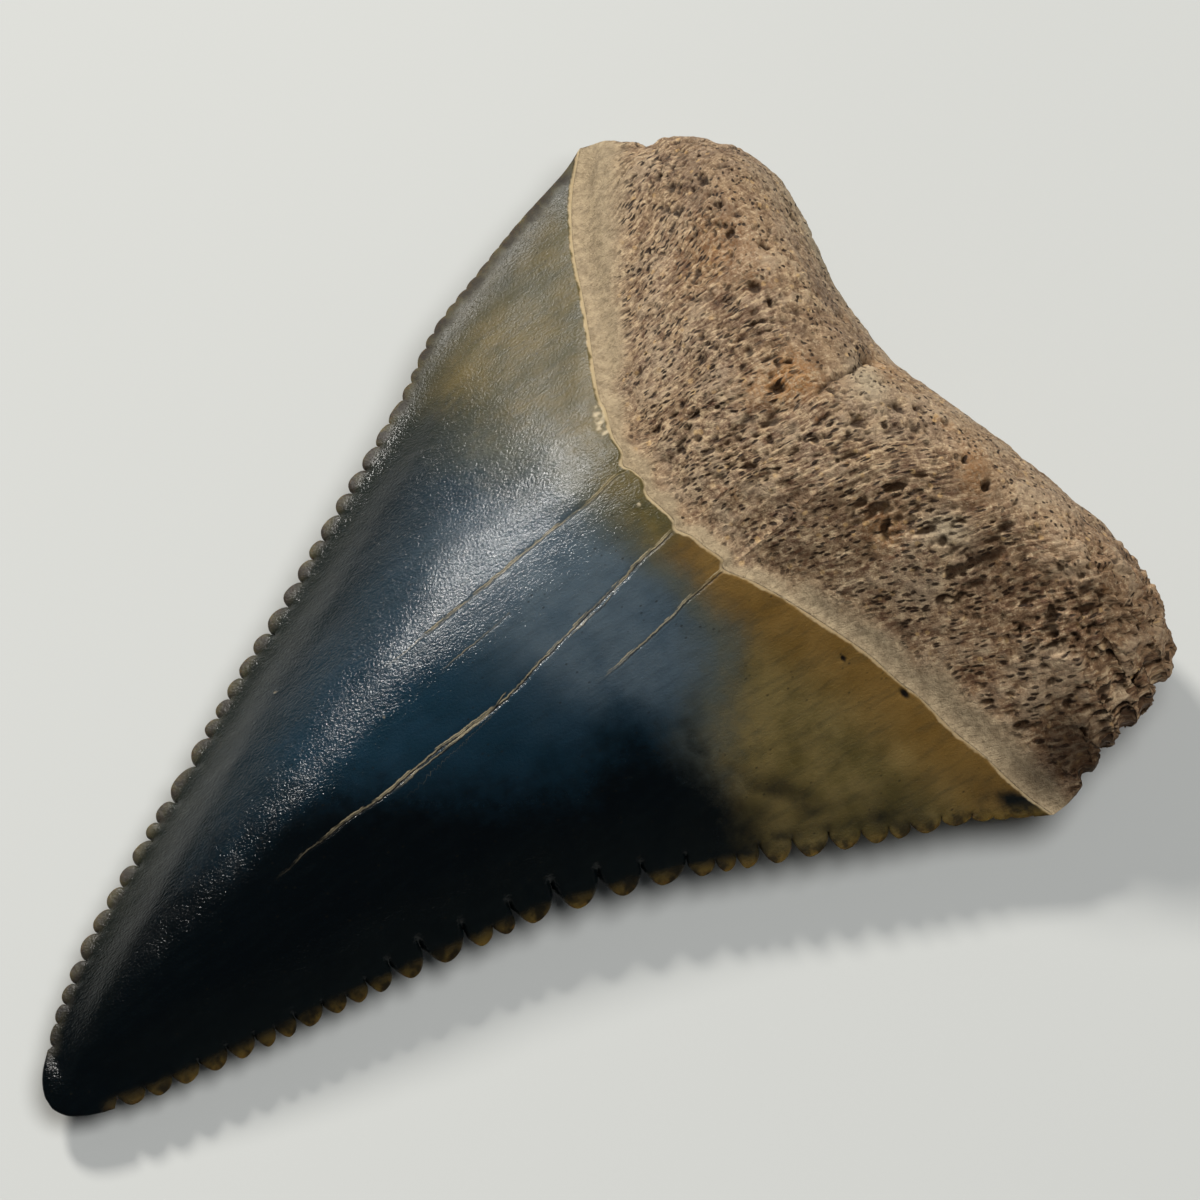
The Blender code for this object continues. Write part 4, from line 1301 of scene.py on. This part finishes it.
# ---------------------------------------------------------------- floor, light and camera
def floor_material():
    s = Shader("floor")
    where = s.add("ShaderNodeTexCoord").outputs["Object"]
    tone = s.range(s.noise(where, 6.0, 3.0), 0.3, 0.7)
    colour = s.mix(tone, srgb(176, 177, 174), srgb(181, 182, 179))
    return s.finish({"Base Color": colour, "Roughness": 0.6, "Specular IOR Level": 0.2})


def make_floor():
    mesh = bpy.data.meshes.new("floor")
    r = 6.0
    mesh.from_pydata([(-r, -r, 0), (r, -r, 0), (r, r, 0), (-r, r, 0)], [], [(0, 1, 2, 3)])
    mesh.materials.append(floor_material())
    plane = bpy.data.objects.new("floor", mesh)
    plane.location.z = -0.00002
    bpy.context.scene.collection.objects.link(plane)


def pointing(place, target):
    return (Vector(target) - Vector(place)).to_track_quat("-Z", "Y").to_matrix().to_4x4()


def make_light(name, direction, reach, size, power, colour, target=(0, 0, 0.004)):
    data = bpy.data.lights.new(name, "AREA")
    data.shape, data.size = "DISK", size
    data.energy, data.color = power, colour
    lamp = bpy.data.objects.new(name, data)
    place = Vector(target) + Vector(direction).normalized() * reach
    lamp.matrix_world = Matrix.Translation(place) @ pointing(place, target)
    lamp.visible_glossy = name == "key"
    bpy.context.scene.collection.objects.link(lamp)


def make_camera():
    azimuth, elevation, reach = math.radians(57.5), math.radians(65), 0.25
    target = Vector((0.000468, 0.004669, 0.003))
    back = Vector(
        (
            math.sin(azimuth) * math.cos(elevation),
            -math.cos(azimuth) * math.cos(elevation),
            math.sin(elevation),
        )
    )
    right = Vector((math.cos(azimuth), math.sin(azimuth), 0))
    up = back.cross(right)
    data = bpy.data.cameras.new("camera")
    data.lens, data.sensor_width, data.sensor_fit = 200, 36, "HORIZONTAL"
    data.clip_start, data.clip_end = 0.01, 50
    camera = bpy.data.objects.new("camera", data)
    turn = Matrix((right, up, back)).transposed().to_4x4()
    camera.matrix_world = Matrix.Translation(target + back * reach) @ turn
    bpy.context.scene.collection.objects.link(camera)
    bpy.context.scene.camera = camera


make_floor()
make_light("key", (-0.83, 0.05, 0.56), 0.5, 0.094, 2.85, (1.0, 0.97, 0.92))
make_light("fill", (0.2, 0.24, 1.0), 0.6, 0.45, 3.5, (0.98, 0.99, 1.0))
bpy.context.scene.view_settings.view_transform = "Standard"
make_camera()
world = bpy.data.worlds.new("studio")
bpy.context.scene.world = world
world.use_nodes = True
world.node_tree.nodes["Background"].inputs["Color"].default_value = srgb(214, 218, 222)
world.node_tree.nodes["Background"].inputs["Strength"].default_value = 0.12
